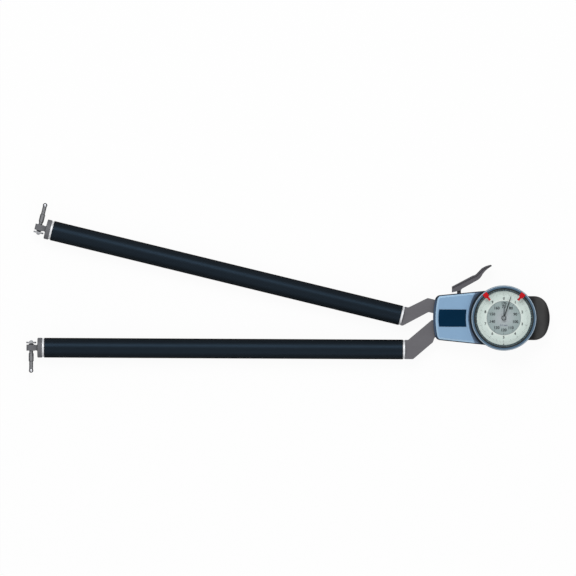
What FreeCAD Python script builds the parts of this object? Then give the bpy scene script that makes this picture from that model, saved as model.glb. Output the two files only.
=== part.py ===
import FreeCAD, Part
import math
import os
import re
import Sketcher

# Inside caliper gauge, millimetres.
# Frame: the origin is where the dial axis meets the flat back of the housing.
# +Z points out of the dial, -X along the arms, +Y to the release lever.
# The gauge is drawn with its arms open, which is where its spring holds them.

doc = FreeCAD.newDocument("InsideCaliperGauge")
sheet = doc.addObject("Spreadsheet::Sheet", "Sizes")
layout = doc.addObject("Spreadsheet::Sheet", "Layout")

SIZES = [
    # measuring geometry
    ("pivot_distance", 42.7),
    ("open_angle", 13.4),
    ("tube_start", 58.9),
    ("tube_drop", 12.0),
    ("closed_gap", 0.3),
    ("tube_length", 359.2),
    ("fixed_shift", 1.1),
    ("tube_outer", 19.8),
    ("tube_wall", 1.6),
    ("ball_reach", 22.9),
    ("pin_reach", 13.0),
    # necks of the two arms
    ("neck_relief", 0.3),
    ("neck_nose", 3.5),
    ("neck_chin", 2.1),
    ("neck_lag", 4.0),
    ("root_top", 11.4),
    ("root_bottom", 2.1),
    ("neck_run", 20.0),
    ("root_gap", 0.3),
    ("root_depth", 16.8),
    ("fixed_nose", 4.3),
    ("fixed_run", 27.9),
    ("sole_run", 9.2),
    ("heel_run", 29.0),
    ("heel_lean", 1.8),
    ("heel_drop", 5.5),
    ("hub_radius", 9.0),
    ("hub_fit", 0.7),
    ("neck_round", 2.5),
    # rings between tubes and fittings
    ("collar_width", 2.1),
    ("collar_step", 0.7),
    ("plug_length", 12.0),
    ("plug_fit", 0.02),
    # tips
    ("flange_thick", 4.6),
    ("bar_width", 5.4),
    ("block_width", 6.0),
    ("block_outer", 4.7),
    ("block_inner", 3.9),
    ("bar_depth", 9.0),
    ("bar_fillet", 1.4),
    ("pin_radius", 1.95),
    ("pin_collar_radius", 2.5),
    ("pin_collar_low", 5.8),
    ("pin_collar_high", 13.3),
    ("pin_thread_radius", 1.5),
    ("pin_fit", 0.03),
    ("ball_radius", 2.25),
    ("washer_radius", 2.65),
    ("washer_rise", 1.3),
    ("washer_thick", 0.5),
    ("nut_radius", 4.9),
    ("nut_thick", 1.6),
    ("nut_dome_radius", 2.0),
    ("nut_dome_height", 1.6),
    # housing
    ("back_thick", 2.0),
    ("shell_height", 19.0),
    ("shell_left", 70.3),
    ("shell_bulge", 1.9),
    ("corner_cut", 4.5),
    ("shell_half_left", 22.5),
    ("shell_right", 17.0),
    ("shell_half_right", 27.2),
    ("cavity_right", 26.0),
    ("shell_wall", 2.2),
    ("shell_round", 2.0),
    ("passage_half", 17.0),
    ("slot_clear", 0.6),
    ("cup_radius", 31.5),
    ("cup_bore", 28.3),
    ("cup_seat_bore", 29.4),
    ("cover_thick", 3.5),
    ("cover_inset", 1.0),
    ("cover_left", 2.1),
    ("cover_bevel", 1.7),
    ("cover_groove", 34.0),
    ("cover_edge", 37.3),
    ("cover_lip", 1.0),
    ("lip_fit", 0.15),
    ("plate_left", 64.6),
    ("plate_right", 37.3),
    ("plate_half", 8.55),
    ("plate_drop", 0.35),
    ("plate_bow", 0.6),
    ("plate_thick", 0.4),
    # screws that hold the cover
    ("case_screw_x", 30.5),
    ("case_screw_gap", 2.45),
    ("case_boss_radius", 2.6),
    ("case_screw_radius", 1.0),
    ("case_head_radius", 1.9),
    ("case_head_thick", 1.2),
    ("case_head_sink", 0.2),
    ("case_screw_bite", 1.6),
    ("case_screw_reach", 6.0),
    ("slot_width", 0.6),
    ("slot_depth", 0.5),
    # arms inside the housing
    ("arm_lift", 3.0),
    ("arm_thick", 10.0),
    ("boss_clear", 0.2),
    ("shaft_radius", 2.5),
    ("bush_radius", 4.0),
    ("bush_fit", 0.05),
    ("boss_radius", 5.5),
    ("pad_inset", 1.0),
    ("screw_radius", 1.5),
    ("screw_head", 2.7),
    ("screw_head_high", 1.6),
    ("screw_pitch", 18.0),
    # release lever and its drive
    ("lever_ratio", 1.5),
    ("fulcrum_gap", 2.2),
    ("fulcrum_left", 2.0),
    ("fulcrum_radius", 1.2),
    ("fulcrum_fit", 0.08),
    ("eye_radius", 2.7),
    ("stem_half", 1.9),
    ("stem_thick", 3.0),
    ("ear_drop", 3.0),
    ("ear_radius", 2.7),
    ("ear_clear", 6.0),
    ("drive_radius", 1.0),
    ("fork_fit", 0.1),
    ("fork_wall", 1.3),
    ("fork_reach", 1.9),
    ("lever_depth", 12.0),
    ("lever_web", 9.0),
    ("lever_flange", 1.4),
    ("lever_rise", 5.35),
    # side view of the lever, from its fulcrum
    ("blade_left", 7.0),
    ("blade_top", 11.2),
    ("armpit_round", 3.0),
    ("knee_low_x", 18.6),
    ("knee_low_y", 17.8),
    ("knee_round", 12.2),
    ("bend_x", 13.9),
    ("bend_y", 22.3),
    ("crook_x", 17.4),
    ("crook_y", 24.0),
    ("crook_round", 6.0),
    ("thumb_low_x", 23.3),
    ("thumb_low_y", 23.4),
    ("thumb_hollow", 26.0),
    ("thumb_high_x", 22.7),
    ("thumb_high_y", 29.5),
    ("thumb_crown", 20.8),
    ("nose_low_x", 32.4),
    ("nose_low_y", 31.6),
    ("nose_high_x", 31.5),
    ("nose_high_y", 33.1),
    ("nose_round", 1.0),
    # gear train
    ("gear_module", 0.22),
    ("sector_full", 324),
    ("pinion_teeth", 12),
    ("wheel_teeth", 120),
    ("hour_teeth", 66),
    ("sector_spare", 2),
    ("tooth_share", 0.9),
    ("addendum", 0.9),
    ("dedendum", 1.2),
    ("sector_lift", 0.5),
    ("sector_thick", 1.2),
    ("sector_hub", 6.5),
    ("bridge_thick", 1.2),
    ("bridge_radius", 26.0),
    ("bridge_drop", 1.3),
    ("wheel_gap", 1.1),
    ("wheel_thick", 0.7),
    ("wheel_run", 0.7),
    ("hour_gap", 0.5),
    ("hour_thick", 0.6),
    ("arbor_radius", 0.8),
    ("arbor_pivot", 0.4),
    ("arbor_fit", 0.05),
    ("pipe_radius", 1.2),
    ("staff_radius", 0.55),
    ("pillar_radius", 1.8),
    ("pillar_stub", 1.0),
    ("pillar_circle", 22.5),
    ("pillar_one", -40.0),
    ("pillar_two", 60.0),
    ("pillar_three", 150.0),
    # dial
    ("dial_base_thick", 1.0),
    ("dial_base_gap", 0.7),
    ("rim_over", 0.2),
    ("ring_inner", 17.1),
    ("ring_outer", 28.9),
    ("ring_fit", 0.1),
    ("ring_thick", 0.9),
    ("ring_gap", 1.1),
    ("disc_radius", 16.9),
    ("disc_drop", 0.1),
    ("bezel_radius", 32.6),
    ("bezel_fit", 0.2),
    ("bezel_skirt", 2.4),
    ("bezel_window", 27.0),
    ("bezel_lip", 0.6),
    ("bezel_rise", 5.8),
    ("bezel_flat", 1.2),
    ("glass_radius", 29.9),
    ("glass_thick", 0.8),
    ("glass_ledge", 0.9),
    ("glass_depth", 1.3),
    ("seal_thick", 0.4),
    ("glass_fit", 0.05),
    ("short_length", 12.8),
    ("short_width", 1.2),
    ("long_length", 23.0),
    ("long_width", 1.2),
    ("hand_thick", 0.4),
    ("hand_hub", 2.4),
    ("hand_gap", 0.5),
    ("cap_height", 0.6),
    # red tolerance markers
    ("marker_angle", 38.5),
    ("marker_centre", 28.9),
    ("marker_width", 5.0),
    ("marker_depth", 4.9),
    ("marker_tail", 22.6),
    ("marker_tail_width", 2.0),
    ("marker_thick", 0.9),
    ("marker_lift", 0.1),
    # end grip
    ("grip_half", 22.0),
    ("grip_flat", 30.5),
    ("grip_end", 46.2),
    ("grip_corner", 14.0),
    ("grip_low", 1.2),
    ("grip_high", 20.4),
    ("grip_round", 3.0),
    ("grip_root", 20.0),
]

LAYOUT = [
    ("middle_z", "back_thick + arm_lift + arm_thick/2"),
    ("arm_z", "back_thick + arm_lift"),
    ("arm_top", "arm_z + arm_thick"),
    ("axis_gap", "tube_outer + closed_gap"),
    ("fixed_drop", "tube_drop + axis_gap"),
    ("fixed_start", "tube_start - fixed_shift"),
    ("tip_start", "tube_start + tube_length"),
    ("fixed_tip_start", "fixed_start + tube_length"),
    ("pin_line", "tip_start + pin_reach"),
    ("fixed_pin_line", "fixed_tip_start + pin_reach"),
    ("neck_end", "tube_start - collar_width"),
    ("fixed_end", "fixed_start - collar_width"),
    ("neck_half", "tube_outer/2 - neck_relief"),
    ("neck_high", "tube_drop - neck_half"),
    ("neck_low", "tube_drop + neck_half"),
    ("fixed_high", "fixed_drop - neck_half"),
    ("fixed_low", "fixed_drop + neck_half"),
    ("fixed_top", "root_bottom + root_gap"),
    ("fixed_bottom", "fixed_top + root_depth"),
    ("slope", "(shell_half_right - shell_half_left)/(shell_left - corner_cut - shell_bulge - shell_right)"),
    ("shell_corner", "shell_left - shell_bulge - corner_cut"),
    ("shell_side", "shell_half_left - corner_cut"),
    ("bulge_radius", "(shell_side^2 + shell_bulge^2)/(2*shell_bulge)"),
    ("inner_left", "shell_left - shell_bulge - shell_wall + 0.2"),
    ("inner_half", "shell_half_left - shell_wall"),
    ("inner_right", "inner_half + slope*(shell_corner - cavity_right)"),
    ("case_screw_y", "inner_half + slope*(shell_corner - case_screw_x) - case_screw_gap"),
    ("sector_z", "arm_top + sector_lift"),
    ("sector_pitch_radius", "gear_module*sector_full/2"),
    ("pinion_pitch_radius", "gear_module*pinion_teeth/2"),
    ("wheel_pitch_radius", "gear_module*wheel_teeth/2"),
    ("hour_pitch_radius", "gear_module*hour_teeth/2"),
    ("sector_reach", "sector_pitch_radius + pinion_pitch_radius"),
    ("arbor_reach", "wheel_pitch_radius + pinion_pitch_radius"),
    ("transfer_x", "(sector_reach^2 - arbor_reach^2 - pivot_distance^2)/(2*pivot_distance)"),
    ("transfer_y", "-sqrt(arbor_reach^2 - transfer_x^2)"),
    ("sector_line", "atan2(transfer_y; transfer_x + pivot_distance)/1 deg"),
    ("centre_line", "atan2(-transfer_y; -transfer_x)/1 deg"),
    ("sector_step", "360/sector_full"),
    ("transfer_ratio", "sector_full/pinion_teeth"),
    ("long_ratio", "transfer_ratio*wheel_teeth/pinion_teeth"),
    ("bridge_z", "sector_z - bridge_drop - bridge_thick"),
    ("bridge_top", "sector_z - bridge_drop"),
    ("wheel_z", "sector_z + sector_thick + wheel_gap"),
    ("upper_z", "wheel_z + wheel_thick + wheel_run"),
    ("upper_top", "upper_z + bridge_thick"),
    ("hour_z", "upper_top + hour_gap"),
    ("dial_base_z", "hour_z + hour_thick + dial_base_gap"),
    ("dial_floor", "dial_base_z + dial_base_thick"),
    ("rim_z", "dial_floor + rim_over"),
    ("bezel_floor", "rim_z + rim_over"),
    ("ring_z", "dial_floor + ring_gap"),
    ("ring_top", "ring_z + ring_thick"),
    ("disc_top", "ring_top - disc_drop"),
    ("bezel_top", "ring_top + bezel_rise"),
    ("ledge_z", "bezel_top - glass_depth"),
    ("glass_z", "ledge_z + seal_thick"),
    ("short_z", "disc_top + hand_gap + 0.4"),
    ("long_z", "short_z + 2*hand_gap + hand_thick"),
    ("fulcrum_x", "pivot_distance + fulcrum_left"),
    ("fulcrum_rise", "inner_half + slope*(shell_corner - fulcrum_x) - fulcrum_gap"),
    ("drive_lean", "atan2(fulcrum_left; fulcrum_rise)/1 deg"),
    ("drive_reach", "sqrt(fulcrum_left^2 + fulcrum_rise^2)"),
    ("lever_arm", "drive_reach/(1 + lever_ratio)"),
    ("drive_arm", "drive_reach - lever_arm"),
    ("ear_lean", "drive_lean + open_angle/2"),
    ("fork_lean", "drive_lean + lever_ratio*open_angle/2"),
    ("fork_half", "drive_radius + fork_fit + fork_wall"),
    ("stem_z", "arm_top - ear_drop + slot_clear"),
    ("grip_centre", "(grip_flat^2 + (grip_half - grip_corner)^2 - (grip_end - grip_corner)^2)"
                    "/(2*(grip_flat - grip_end + grip_corner))"),
]

SHEETS = {}
TURNED_OVER = FreeCAD.Rotation(FreeCAD.Vector(1, 0, 0), 180)


def q(text):
    """An expression with each alias led by the sheet that holds it."""
    def lead(match):
        word = match.group(0)
        return SHEETS[word] + "." + word if word in SHEETS else word
    return re.sub(r"[A-Za-z_][A-Za-z0-9_]*", lead, str(text))


def value(text):
    """The plain number that an expression gives."""
    result = layout.evalExpression(q(text))
    return float(getattr(result, "Value", result))


for row, (alias, number) in enumerate(SIZES, 1):
    sheet.set("A%d" % row, alias)
    sheet.set("B%d" % row, str(number))
    sheet.setAlias("B%d" % row, alias)
    SHEETS[alias] = "Sizes"
doc.recompute()
for row, (alias, formula) in enumerate(LAYOUT, 1):
    layout.set("A%d" % row, alias)
    layout.set("B%d" % row, "=" + q(formula))
    layout.setAlias("B%d" % row, alias)
    SHEETS[alias] = "Layout"
    doc.recompute()


def new_body(label):
    body = doc.addObject("PartDesign::Body", label)
    body.Label = label
    return body


def draw(body, plane, loops, lift="0"):
    """A fully bound sketch. A loop is a circle (x, y, radius) or a list of corners.
    A corner is (x, y), and an arc is written between two corners as ("arc", radius):
    a positive radius bulges to the right of the way round."""
    sketch = body.newObject("Sketcher::SketchObject", body.Name + "_sketch")
    origin = [f for f in body.Origin.OriginFeatures if f.Role == plane][0]
    sketch.AttachmentSupport = (origin, [""])
    sketch.MapMode = "FlatFace"
    sketch.setExpression("AttachmentOffset.Base.z", q(lift))
    for loop in loops:
        if isinstance(loop, tuple):
            add_circle(sketch, *loop)
        else:
            add_loop(sketch, loop)
    return sketch


def bind(sketch, kind, *args):
    """Adds a constraint whose last argument is an expression."""
    text = args[-1]
    index = sketch.addConstraint(Sketcher.Constraint(kind, *args[:-1], value(text)))
    sketch.setExpression("Constraints[%d]" % index, q(text))


def add_circle(sketch, x, y, radius):
    centre = FreeCAD.Vector(value(x), value(y), 0)
    edge = sketch.addGeometry(Part.Circle(centre, FreeCAD.Vector(0, 0, 1), value(radius)))
    bind(sketch, "DistanceX", -1, 1, edge, 3, x)
    bind(sketch, "DistanceY", -1, 1, edge, 3, y)
    bind(sketch, "Radius", edge, radius)


def add_loop(sketch, loop):
    corners = []
    for item in loop:
        if item[0] == "arc":
            corners[-1][2] = item[1]
        else:
            corners.append([item[0], item[1], None])
    count = len(corners)
    spots = [FreeCAD.Vector(value(c[0]), value(c[1]), 0) for c in corners]
    ends = []
    for i, corner in enumerate(corners):
        a = spots[i]
        b = spots[(i + 1) % count]
        if corner[2] is None:
            edge = sketch.addGeometry(Part.LineSegment(a, b))
            ends.append((edge, 1, 2))
            continue
        reach = value(corner[2])
        half = (b - a).Length / 2
        along = (b - a).normalize()
        side = FreeCAD.Vector(along.y, -along.x, 0)
        if reach < 0:
            side = side * -1
        rise = abs(reach) - math.sqrt(max(reach * reach - half * half, 0))
        middle = (a + b) * 0.5 + side * rise
        curve = Part.Arc(a, middle, b)
        edge = sketch.addGeometry(curve)
        first = sketch.getPoint(edge, 1)
        turned = (first - a).Length > (first - b).Length
        ends.append((edge, 2, 1) if turned else (edge, 1, 2))
    for i in range(count):
        edge, start, end = ends[i]
        following, follow_start, follow_end = ends[(i + 1) % count]
        sketch.addConstraint(Sketcher.Constraint("Coincident", edge, end, following, follow_start))
        bind(sketch, "DistanceX", -1, 1, edge, start, corners[i][0])
        bind(sketch, "DistanceY", -1, 1, edge, start, corners[i][1])
        if corners[i][2] is not None:
            size = "abs(%s)" % corners[i][2]
            bind(sketch, "Radius", edge, size)


def pad(body, loops, low, height):
    """Adds material from a level upwards."""
    sketch = draw(body, "XY_Plane", loops, low)
    feature = body.newObject("PartDesign::Pad", body.Name + "_pad")
    feature.Profile = sketch
    feature.setExpression("Length", q(height))
    doc.recompute()
    return feature


def cut(body, loops, high, depth):
    """Takes material away from a level downwards."""
    before = body.Shape.Volume
    sketch = draw(body, "XY_Plane", loops, high)
    feature = body.newObject("PartDesign::Pocket", body.Name + "_pocket")
    feature.Profile = sketch
    feature.setExpression("Length", q(depth))
    doc.recompute()
    if body.Shape.Volume > before - 1e-6:
        raise ValueError(body.Label + ": a pocket cut nothing")
    return feature


def turn(body, plane, axis, loop, kind="Revolution"):
    """A full turn of a profile about an axis of its sketch."""
    before = body.Shape.Volume if kind == "Groove" else 0
    sketch = draw(body, plane, [loop])
    feature = body.newObject("PartDesign::" + kind, body.Name + "_turn")
    feature.Profile = sketch
    feature.ReferenceAxis = (sketch, [axis])
    feature.Angle = 360
    doc.recompute()
    if kind == "Groove" and body.Shape.Volume > before - 1e-6:
        raise ValueError(body.Label + ": a groove cut nothing")
    return feature


def round_edges(body, radius, wanted):
    """Rounds the edges of the newest feature that the test picks."""
    doc.recompute()
    base = body.Tip
    names = ["Edge%d" % n for n, edge in enumerate(base.Shape.Edges, 1) if wanted(edge)]
    feature = body.newObject("PartDesign::Fillet", body.Name + "_round")
    feature.Base = (base, names)
    feature.setExpression("Radius", q(radius))
    doc.recompute()


def seat(thing, x="0", y="0", z="0", angle=None):
    """Places a sub-part, turned about Z when an angle is given."""
    for name, text in (("x", x), ("y", y), ("z", z)):
        thing.setExpression("Placement.Base." + name, q(text))
    if angle is not None:
        thing.setExpression("Placement.Rotation.Angle", q(angle))


def seat_on_arm(thing, moving, x, y, z="middle_z"):
    """Places a sub-part by its distances from the pivot with the arms closed.
    The moving arm is swung open about the pivot. The fixed arm's fittings are
    turned over, so that their contact points face the other way."""
    if moving:
        seat(thing, "(%s)*cos(open_angle) + (%s)*sin(open_angle) - pivot_distance" % (x, y),
             "(%s)*cos(open_angle) - (%s)*sin(open_angle)" % (y, x), z, "-open_angle")
    else:
        thing.Placement = FreeCAD.Placement(FreeCAD.Vector(0, 0, 0), TURNED_OVER)
        seat(thing, "%s - pivot_distance" % x, y, z)


def cylinder(label, radius, height):
    thing = doc.addObject("Part::Cylinder", label)
    thing.Label = label
    thing.setExpression("Radius", q(radius))
    thing.setExpression("Height", q(height))
    return thing


# Housing

shell = new_body("rear_shell")
OUTLINE = [
    ("-shell_corner", "shell_half_left"),
    ("arc", "1.25*corner_cut"),
    ("shell_bulge - shell_left", "shell_side"),
    ("arc", "bulge_radius"),
    ("shell_bulge - shell_left", "-shell_side"),
    ("arc", "1.25*corner_cut"),
    ("-shell_corner", "-shell_half_left"),
    ("-shell_right", "-shell_half_right"),
    ("-shell_right", "shell_half_right"),
]
pad(shell, [OUTLINE], "0", "shell_height")
round_edges(shell, "shell_round", lambda edge: abs(edge.BoundBox.ZMax) < 1e-6
            and edge.BoundBox.XMin < -value("shell_right") - 0.1)
pad(shell, [("0", "0", "cup_radius")], "0", "rim_z")
CAVITY = [
    ("-inner_left", "inner_half - corner_cut"),
    ("-inner_left", "corner_cut - inner_half"),
    ("-shell_corner", "-inner_half"),
    ("-cavity_right", "-inner_right"),
    ("-cavity_right", "-passage_half"),
    ("-pivot_distance/4", "-passage_half"),
    ("-pivot_distance/4", "passage_half"),
    ("-cavity_right", "passage_half"),
    ("-cavity_right", "inner_right"),
    ("-shell_corner", "inner_half"),
]
cut(shell, [CAVITY], "shell_height", "shell_height - back_thick")
cut(shell, [("0", "0", "cup_bore")], "rim_z", "rim_z - back_thick")
cut(shell, [("0", "0", "cup_seat_bore")], "rim_z", "rim_z - dial_base_z")
# mouth for the two arms, and the slot in the roof for the stem of the lever
MOUTH = [
    ("-shell_left - 5", "inner_half - 0.3"),
    ("-shell_left - 5", "-fixed_bottom - slot_clear"),
    ("-shell_corner", "-fixed_bottom - slot_clear"),
    ("-shell_corner", "inner_half - 0.3"),
]
cut(shell, [MOUTH], "arm_top + slot_clear", "arm_thick + 2*slot_clear")
ROOF_SLOT = [
    ("-fulcrum_x - eye_radius - 2*slot_clear", "fulcrum_rise"),
    ("-fulcrum_x + eye_radius + 2*slot_clear", "fulcrum_rise"),
    ("-fulcrum_x + eye_radius + 2*slot_clear", "shell_half_right + 5"),
    ("-fulcrum_x - eye_radius - 2*slot_clear", "shell_half_right + 5"),
]
cut(shell, [ROOF_SLOT], "stem_z + stem_thick + slot_clear", "stem_thick + 2*slot_clear")
# bosses and the pad under the fixed arm
pad(shell, [("-pivot_distance", "0", "boss_radius")], "back_thick/2",
    "back_thick/2 + arm_lift - boss_clear")
cut(shell, [("-pivot_distance", "0", "shaft_radius")], "arm_z", "arm_lift")
pad(shell, [("-fulcrum_x", "fulcrum_rise", "2*fulcrum_radius")], "back_thick/2",
    "stem_z - back_thick/2 - boss_clear")
cut(shell, [("-fulcrum_x", "fulcrum_rise", "fulcrum_radius")], "stem_z", "stem_z - back_thick")
ARM_PAD = [
    ("-pivot_distance - screw_pitch", "pad_inset - fixed_bottom"),
    ("0 - pivot_distance + hub_radius - pad_inset", "pad_inset - fixed_bottom"),
    ("0 - pivot_distance + hub_radius - pad_inset", "-hub_radius - hub_fit - pad_inset"),
    ("-pivot_distance - screw_pitch", "-hub_radius - hub_fit - pad_inset"),
]
pad(shell, [ARM_PAD], "back_thick/2", "back_thick/2 + arm_lift")
SCREW_Y = "(0 - hub_radius - hub_fit - fixed_bottom)/2"
SCREW_XS = ["-pivot_distance + hub_radius/3", "-pivot_distance + hub_radius/3 - screw_pitch*0.8"]
cut(shell, [(x, SCREW_Y, "screw_radius") for x in SCREW_XS], "arm_z", "arm_lift")
# bosses for the two screws that hold the cover from behind
CASE_SPOTS = [("-case_screw_x", "case_screw_y"), ("-case_screw_x", "-case_screw_y")]
pad(shell, [(x, y, "case_boss_radius") for x, y in CASE_SPOTS], "back_thick/2",
    "shell_height - back_thick/2")
cut(shell, [(x, y, "case_screw_radius + slot_clear/2") for x, y in CASE_SPOTS], "shell_height",
    "shell_height")
cut(shell, [(x, y, "case_head_radius + slot_clear/2") for x, y in CASE_SPOTS],
    "case_head_sink + case_head_thick", "case_head_sink + case_head_thick")

cover = new_body("front_cover")
COVER_END = "-shell_right - 2*cover_inset"
COVER_OUTLINE = [
    ("-shell_corner", "shell_half_left - cover_inset"),
    ("arc", "1.25*corner_cut - cover_inset"),
    ("shell_bulge - shell_left + cover_left", "shell_side"),
    ("arc", "bulge_radius"),
    ("shell_bulge - shell_left + cover_left", "-shell_side"),
    ("arc", "1.25*corner_cut - cover_inset"),
    ("-shell_corner", "cover_inset - shell_half_left"),
    (COVER_END, "cover_inset - shell_half_right"),
    (COVER_END, "shell_half_right - cover_inset"),
]
pad(cover, [COVER_OUTLINE], "shell_height", "cover_thick - cover_bevel")
bevelled = pad(cover, [COVER_OUTLINE], "shell_height + cover_thick - cover_bevel", "cover_bevel")
bevelled.TaperAngle = -45
# round the dial: a lip that closes the housing, then the slope of the groove
turn(cover, "XZ_Plane", "V_Axis", [
    ("0", "shell_height - 1"),
    ("cup_radius + lip_fit", "shell_height - 1"),
    ("cup_radius + lip_fit", "shell_height + cover_lip"),
    ("cover_groove", "shell_height + cover_lip"),
    ("cover_edge", "shell_height + cover_thick"),
    ("cover_edge", "shell_height + cover_thick + 1"),
    ("0", "shell_height + cover_thick + 1"),
], "Groove")
cut(cover, [("-pivot_distance", "0", "case_screw_radius + slot_clear/4")],
    "shell_height + cover_thick", "cover_thick")
cut(cover, [("-pivot_distance", "0", "case_head_radius + slot_clear/4")],
    "shell_height + cover_thick", "case_head_sink + case_head_thick")
cut(cover, [(x, y, "case_screw_radius + pin_fit") for x, y in CASE_SPOTS],
    "shell_height + case_screw_bite + slot_clear/4", "case_screw_bite + slot_clear/4")

name_plate = new_body("name_plate")
pad(name_plate, [[
    ("-plate_left", "plate_half"),
    ("arc", "(plate_half^2 + plate_bow^2)/(2*plate_bow)"),
    ("-plate_left", "-plate_half"),
    ("-plate_right", "-plate_half"),
    ("arc", "-(plate_half^2 + plate_bow^2)/(2*plate_bow)"),
    ("-plate_right", "plate_half"),
]], "0", "plate_thick")
seat(name_plate, y="-plate_drop", z="shell_height + cover_thick")

grip = new_body("end_grip")
pad(grip, [[
    ("grip_root", "grip_half"),
    ("grip_root", "-grip_half"),
    ("grip_flat", "-grip_half"),
    ("arc", "grip_corner"),
    ("grip_flat + (grip_flat - grip_centre)*grip_corner/(grip_end - grip_centre - grip_corner)",
     "-(grip_half - grip_corner)*(grip_end - grip_centre)/(grip_end - grip_centre - grip_corner)"),
    ("arc", "grip_end - grip_centre"),
    ("grip_flat + (grip_flat - grip_centre)*grip_corner/(grip_end - grip_centre - grip_corner)",
     "(grip_half - grip_corner)*(grip_end - grip_centre)/(grip_end - grip_centre - grip_corner)"),
    ("arc", "grip_corner"),
    ("grip_flat", "grip_half"),
]], "grip_low", "grip_high - grip_low")
round_edges(grip, "grip_round", lambda edge: edge.BoundBox.ZLength < 1e-6
            and edge.BoundBox.XMax > value("grip_root") + 1)
cut(grip, [("0", "0", "cup_radius")], "grip_high + 1", "grip_high - grip_low + 2")

shaft = new_body("pivot_shaft")
turn(shaft, "XZ_Plane", "V_Axis", [
    ("0", "back_thick"),
    ("shaft_radius", "back_thick"),
    ("shaft_radius", "shell_height"),
    ("case_screw_radius + pin_fit", "shell_height"),
    ("case_screw_radius + pin_fit", "shell_height - case_screw_reach"),
    ("0", "shell_height - case_screw_reach"),
])
seat(shaft, "-pivot_distance")
fulcrum = cylinder("fulcrum_pin", "fulcrum_radius", "shell_height - back_thick")
seat(fulcrum, "-fulcrum_x", "fulcrum_rise", "back_thick")

# Arms


def on_neck(end):
    """Picks the upright edges of a neck, between its tube and its hub."""
    far = -value(end) + 0.1
    near = -value("hub_radius + 2*neck_nose")
    return lambda edge: (edge.BoundBox.ZLength > value("arm_thick") - 0.01
                         and far < edge.BoundBox.XMin and edge.BoundBox.XMax < near)


moving_arm = new_body("moving_arm")
pad(moving_arm, [[
    ("-neck_end", "-neck_high"),
    ("neck_nose - neck_end", "-neck_high"),
    ("neck_run - neck_end", "root_top"),
    ("-hub_radius - neck_nose", "root_top"),
    ("0", "hub_radius"),
    ("0", "-root_bottom"),
    ("neck_run + neck_lag - neck_end", "-root_bottom"),
    ("neck_chin - neck_end", "-neck_low"),
    ("-neck_end", "-neck_low"),
]], "-arm_thick/2", "arm_thick")
round_edges(moving_arm, "neck_round", on_neck("neck_end"))
pad(moving_arm, [("0", "0", "hub_radius")], "-arm_thick/2", "arm_thick")


def on_ear(along, across):
    """A point of the ear that carries the drive pin, along its line from the pivot and across."""
    return ("0 - (%s)*sin(ear_lean) - (%s)*cos(ear_lean)" % (along, across),
            "(%s)*cos(ear_lean) - (%s)*sin(ear_lean)" % (along, across))


EAR_X, EAR_Y = on_ear("drive_arm", "0")
pad(moving_arm, [[
    on_ear("0", "0.8*ear_radius"),
    on_ear("0", "-0.8*ear_radius"),
    on_ear("drive_arm", "-0.8*ear_radius"),
    on_ear("drive_arm", "0.8*ear_radius"),
]], "-arm_thick/2", "arm_thick")
pad(moving_arm, [(EAR_X, EAR_Y, "ear_radius")], "-arm_thick/2", "arm_thick")
cut(moving_arm, [(EAR_X, EAR_Y, "ear_clear")], "arm_thick/2", "ear_drop")
cut(moving_arm, [("0", "0", "bush_radius")], "arm_thick/2", "arm_thick")
cut(moving_arm, [(EAR_X, EAR_Y, "drive_radius")], "arm_thick/2", "arm_thick")
seat_on_arm(moving_arm, True, "0", "0")

bush = new_body("pivot_bush")
pad(bush, [("0", "0", "bush_radius - bush_fit"), ("0", "0", "shaft_radius + bush_fit")],
    "-arm_thick/2", "arm_thick")
seat_on_arm(bush, True, "0", "0")

drive_pin = cylinder("drive_pin", "drive_radius", "arm_thick + boss_clear*3")
seat_on_arm(drive_pin, True, EAR_X, EAR_Y, "arm_z")

fixed_arm = new_body("fixed_arm")
pad(fixed_arm, [[
    ("-fixed_end", "-fixed_high"),
    ("fixed_nose - neck_end", "-fixed_high"),
    ("fixed_run - neck_end", "-fixed_top"),
    ("-1.5*hub_radius", "-fixed_top"),
    ("-hub_radius/2", "-hub_radius - hub_fit"),
    ("hub_radius", "-hub_radius - hub_fit"),
    ("hub_radius", "-fixed_bottom"),
    ("heel_run + heel_lean - neck_end", "-fixed_bottom"),
    ("heel_run - neck_end", "-fixed_bottom - heel_drop"),
    ("sole_run - neck_end", "-fixed_low"),
    ("-fixed_end", "-fixed_low"),
]], "-arm_thick/2", "arm_thick")
round_edges(fixed_arm, "neck_round", on_neck("fixed_end"))
cut(fixed_arm, [("%s + pivot_distance" % x, SCREW_Y, "screw_radius") for x in SCREW_XS],
    "arm_thick/2", "arm_thick")
seat(fixed_arm, "-pivot_distance", "0", "middle_z")


def slotted_screw(label, shank, head, head_high, length):
    """A screw on the Z axis with its head above the zero level and a driver slot."""
    screw = new_body(label)
    turn(screw, "XZ_Plane", "V_Axis", [
        ("0", "0 - (%s)" % length),
        (shank, "0 - (%s)" % length),
        (shank, "0"),
        (head, "0"),
        (head, "0.8*%s" % head_high),
        ("0.85*%s" % head, head_high),
        ("0", head_high),
    ])
    cut(screw, [[
        ("0 - " + head, "slot_width/2"),
        ("0 - " + head, "-slot_width/2"),
        (head, "-slot_width/2"),
        (head, "slot_width/2"),
    ]], head_high, "slot_depth")
    return screw


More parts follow.
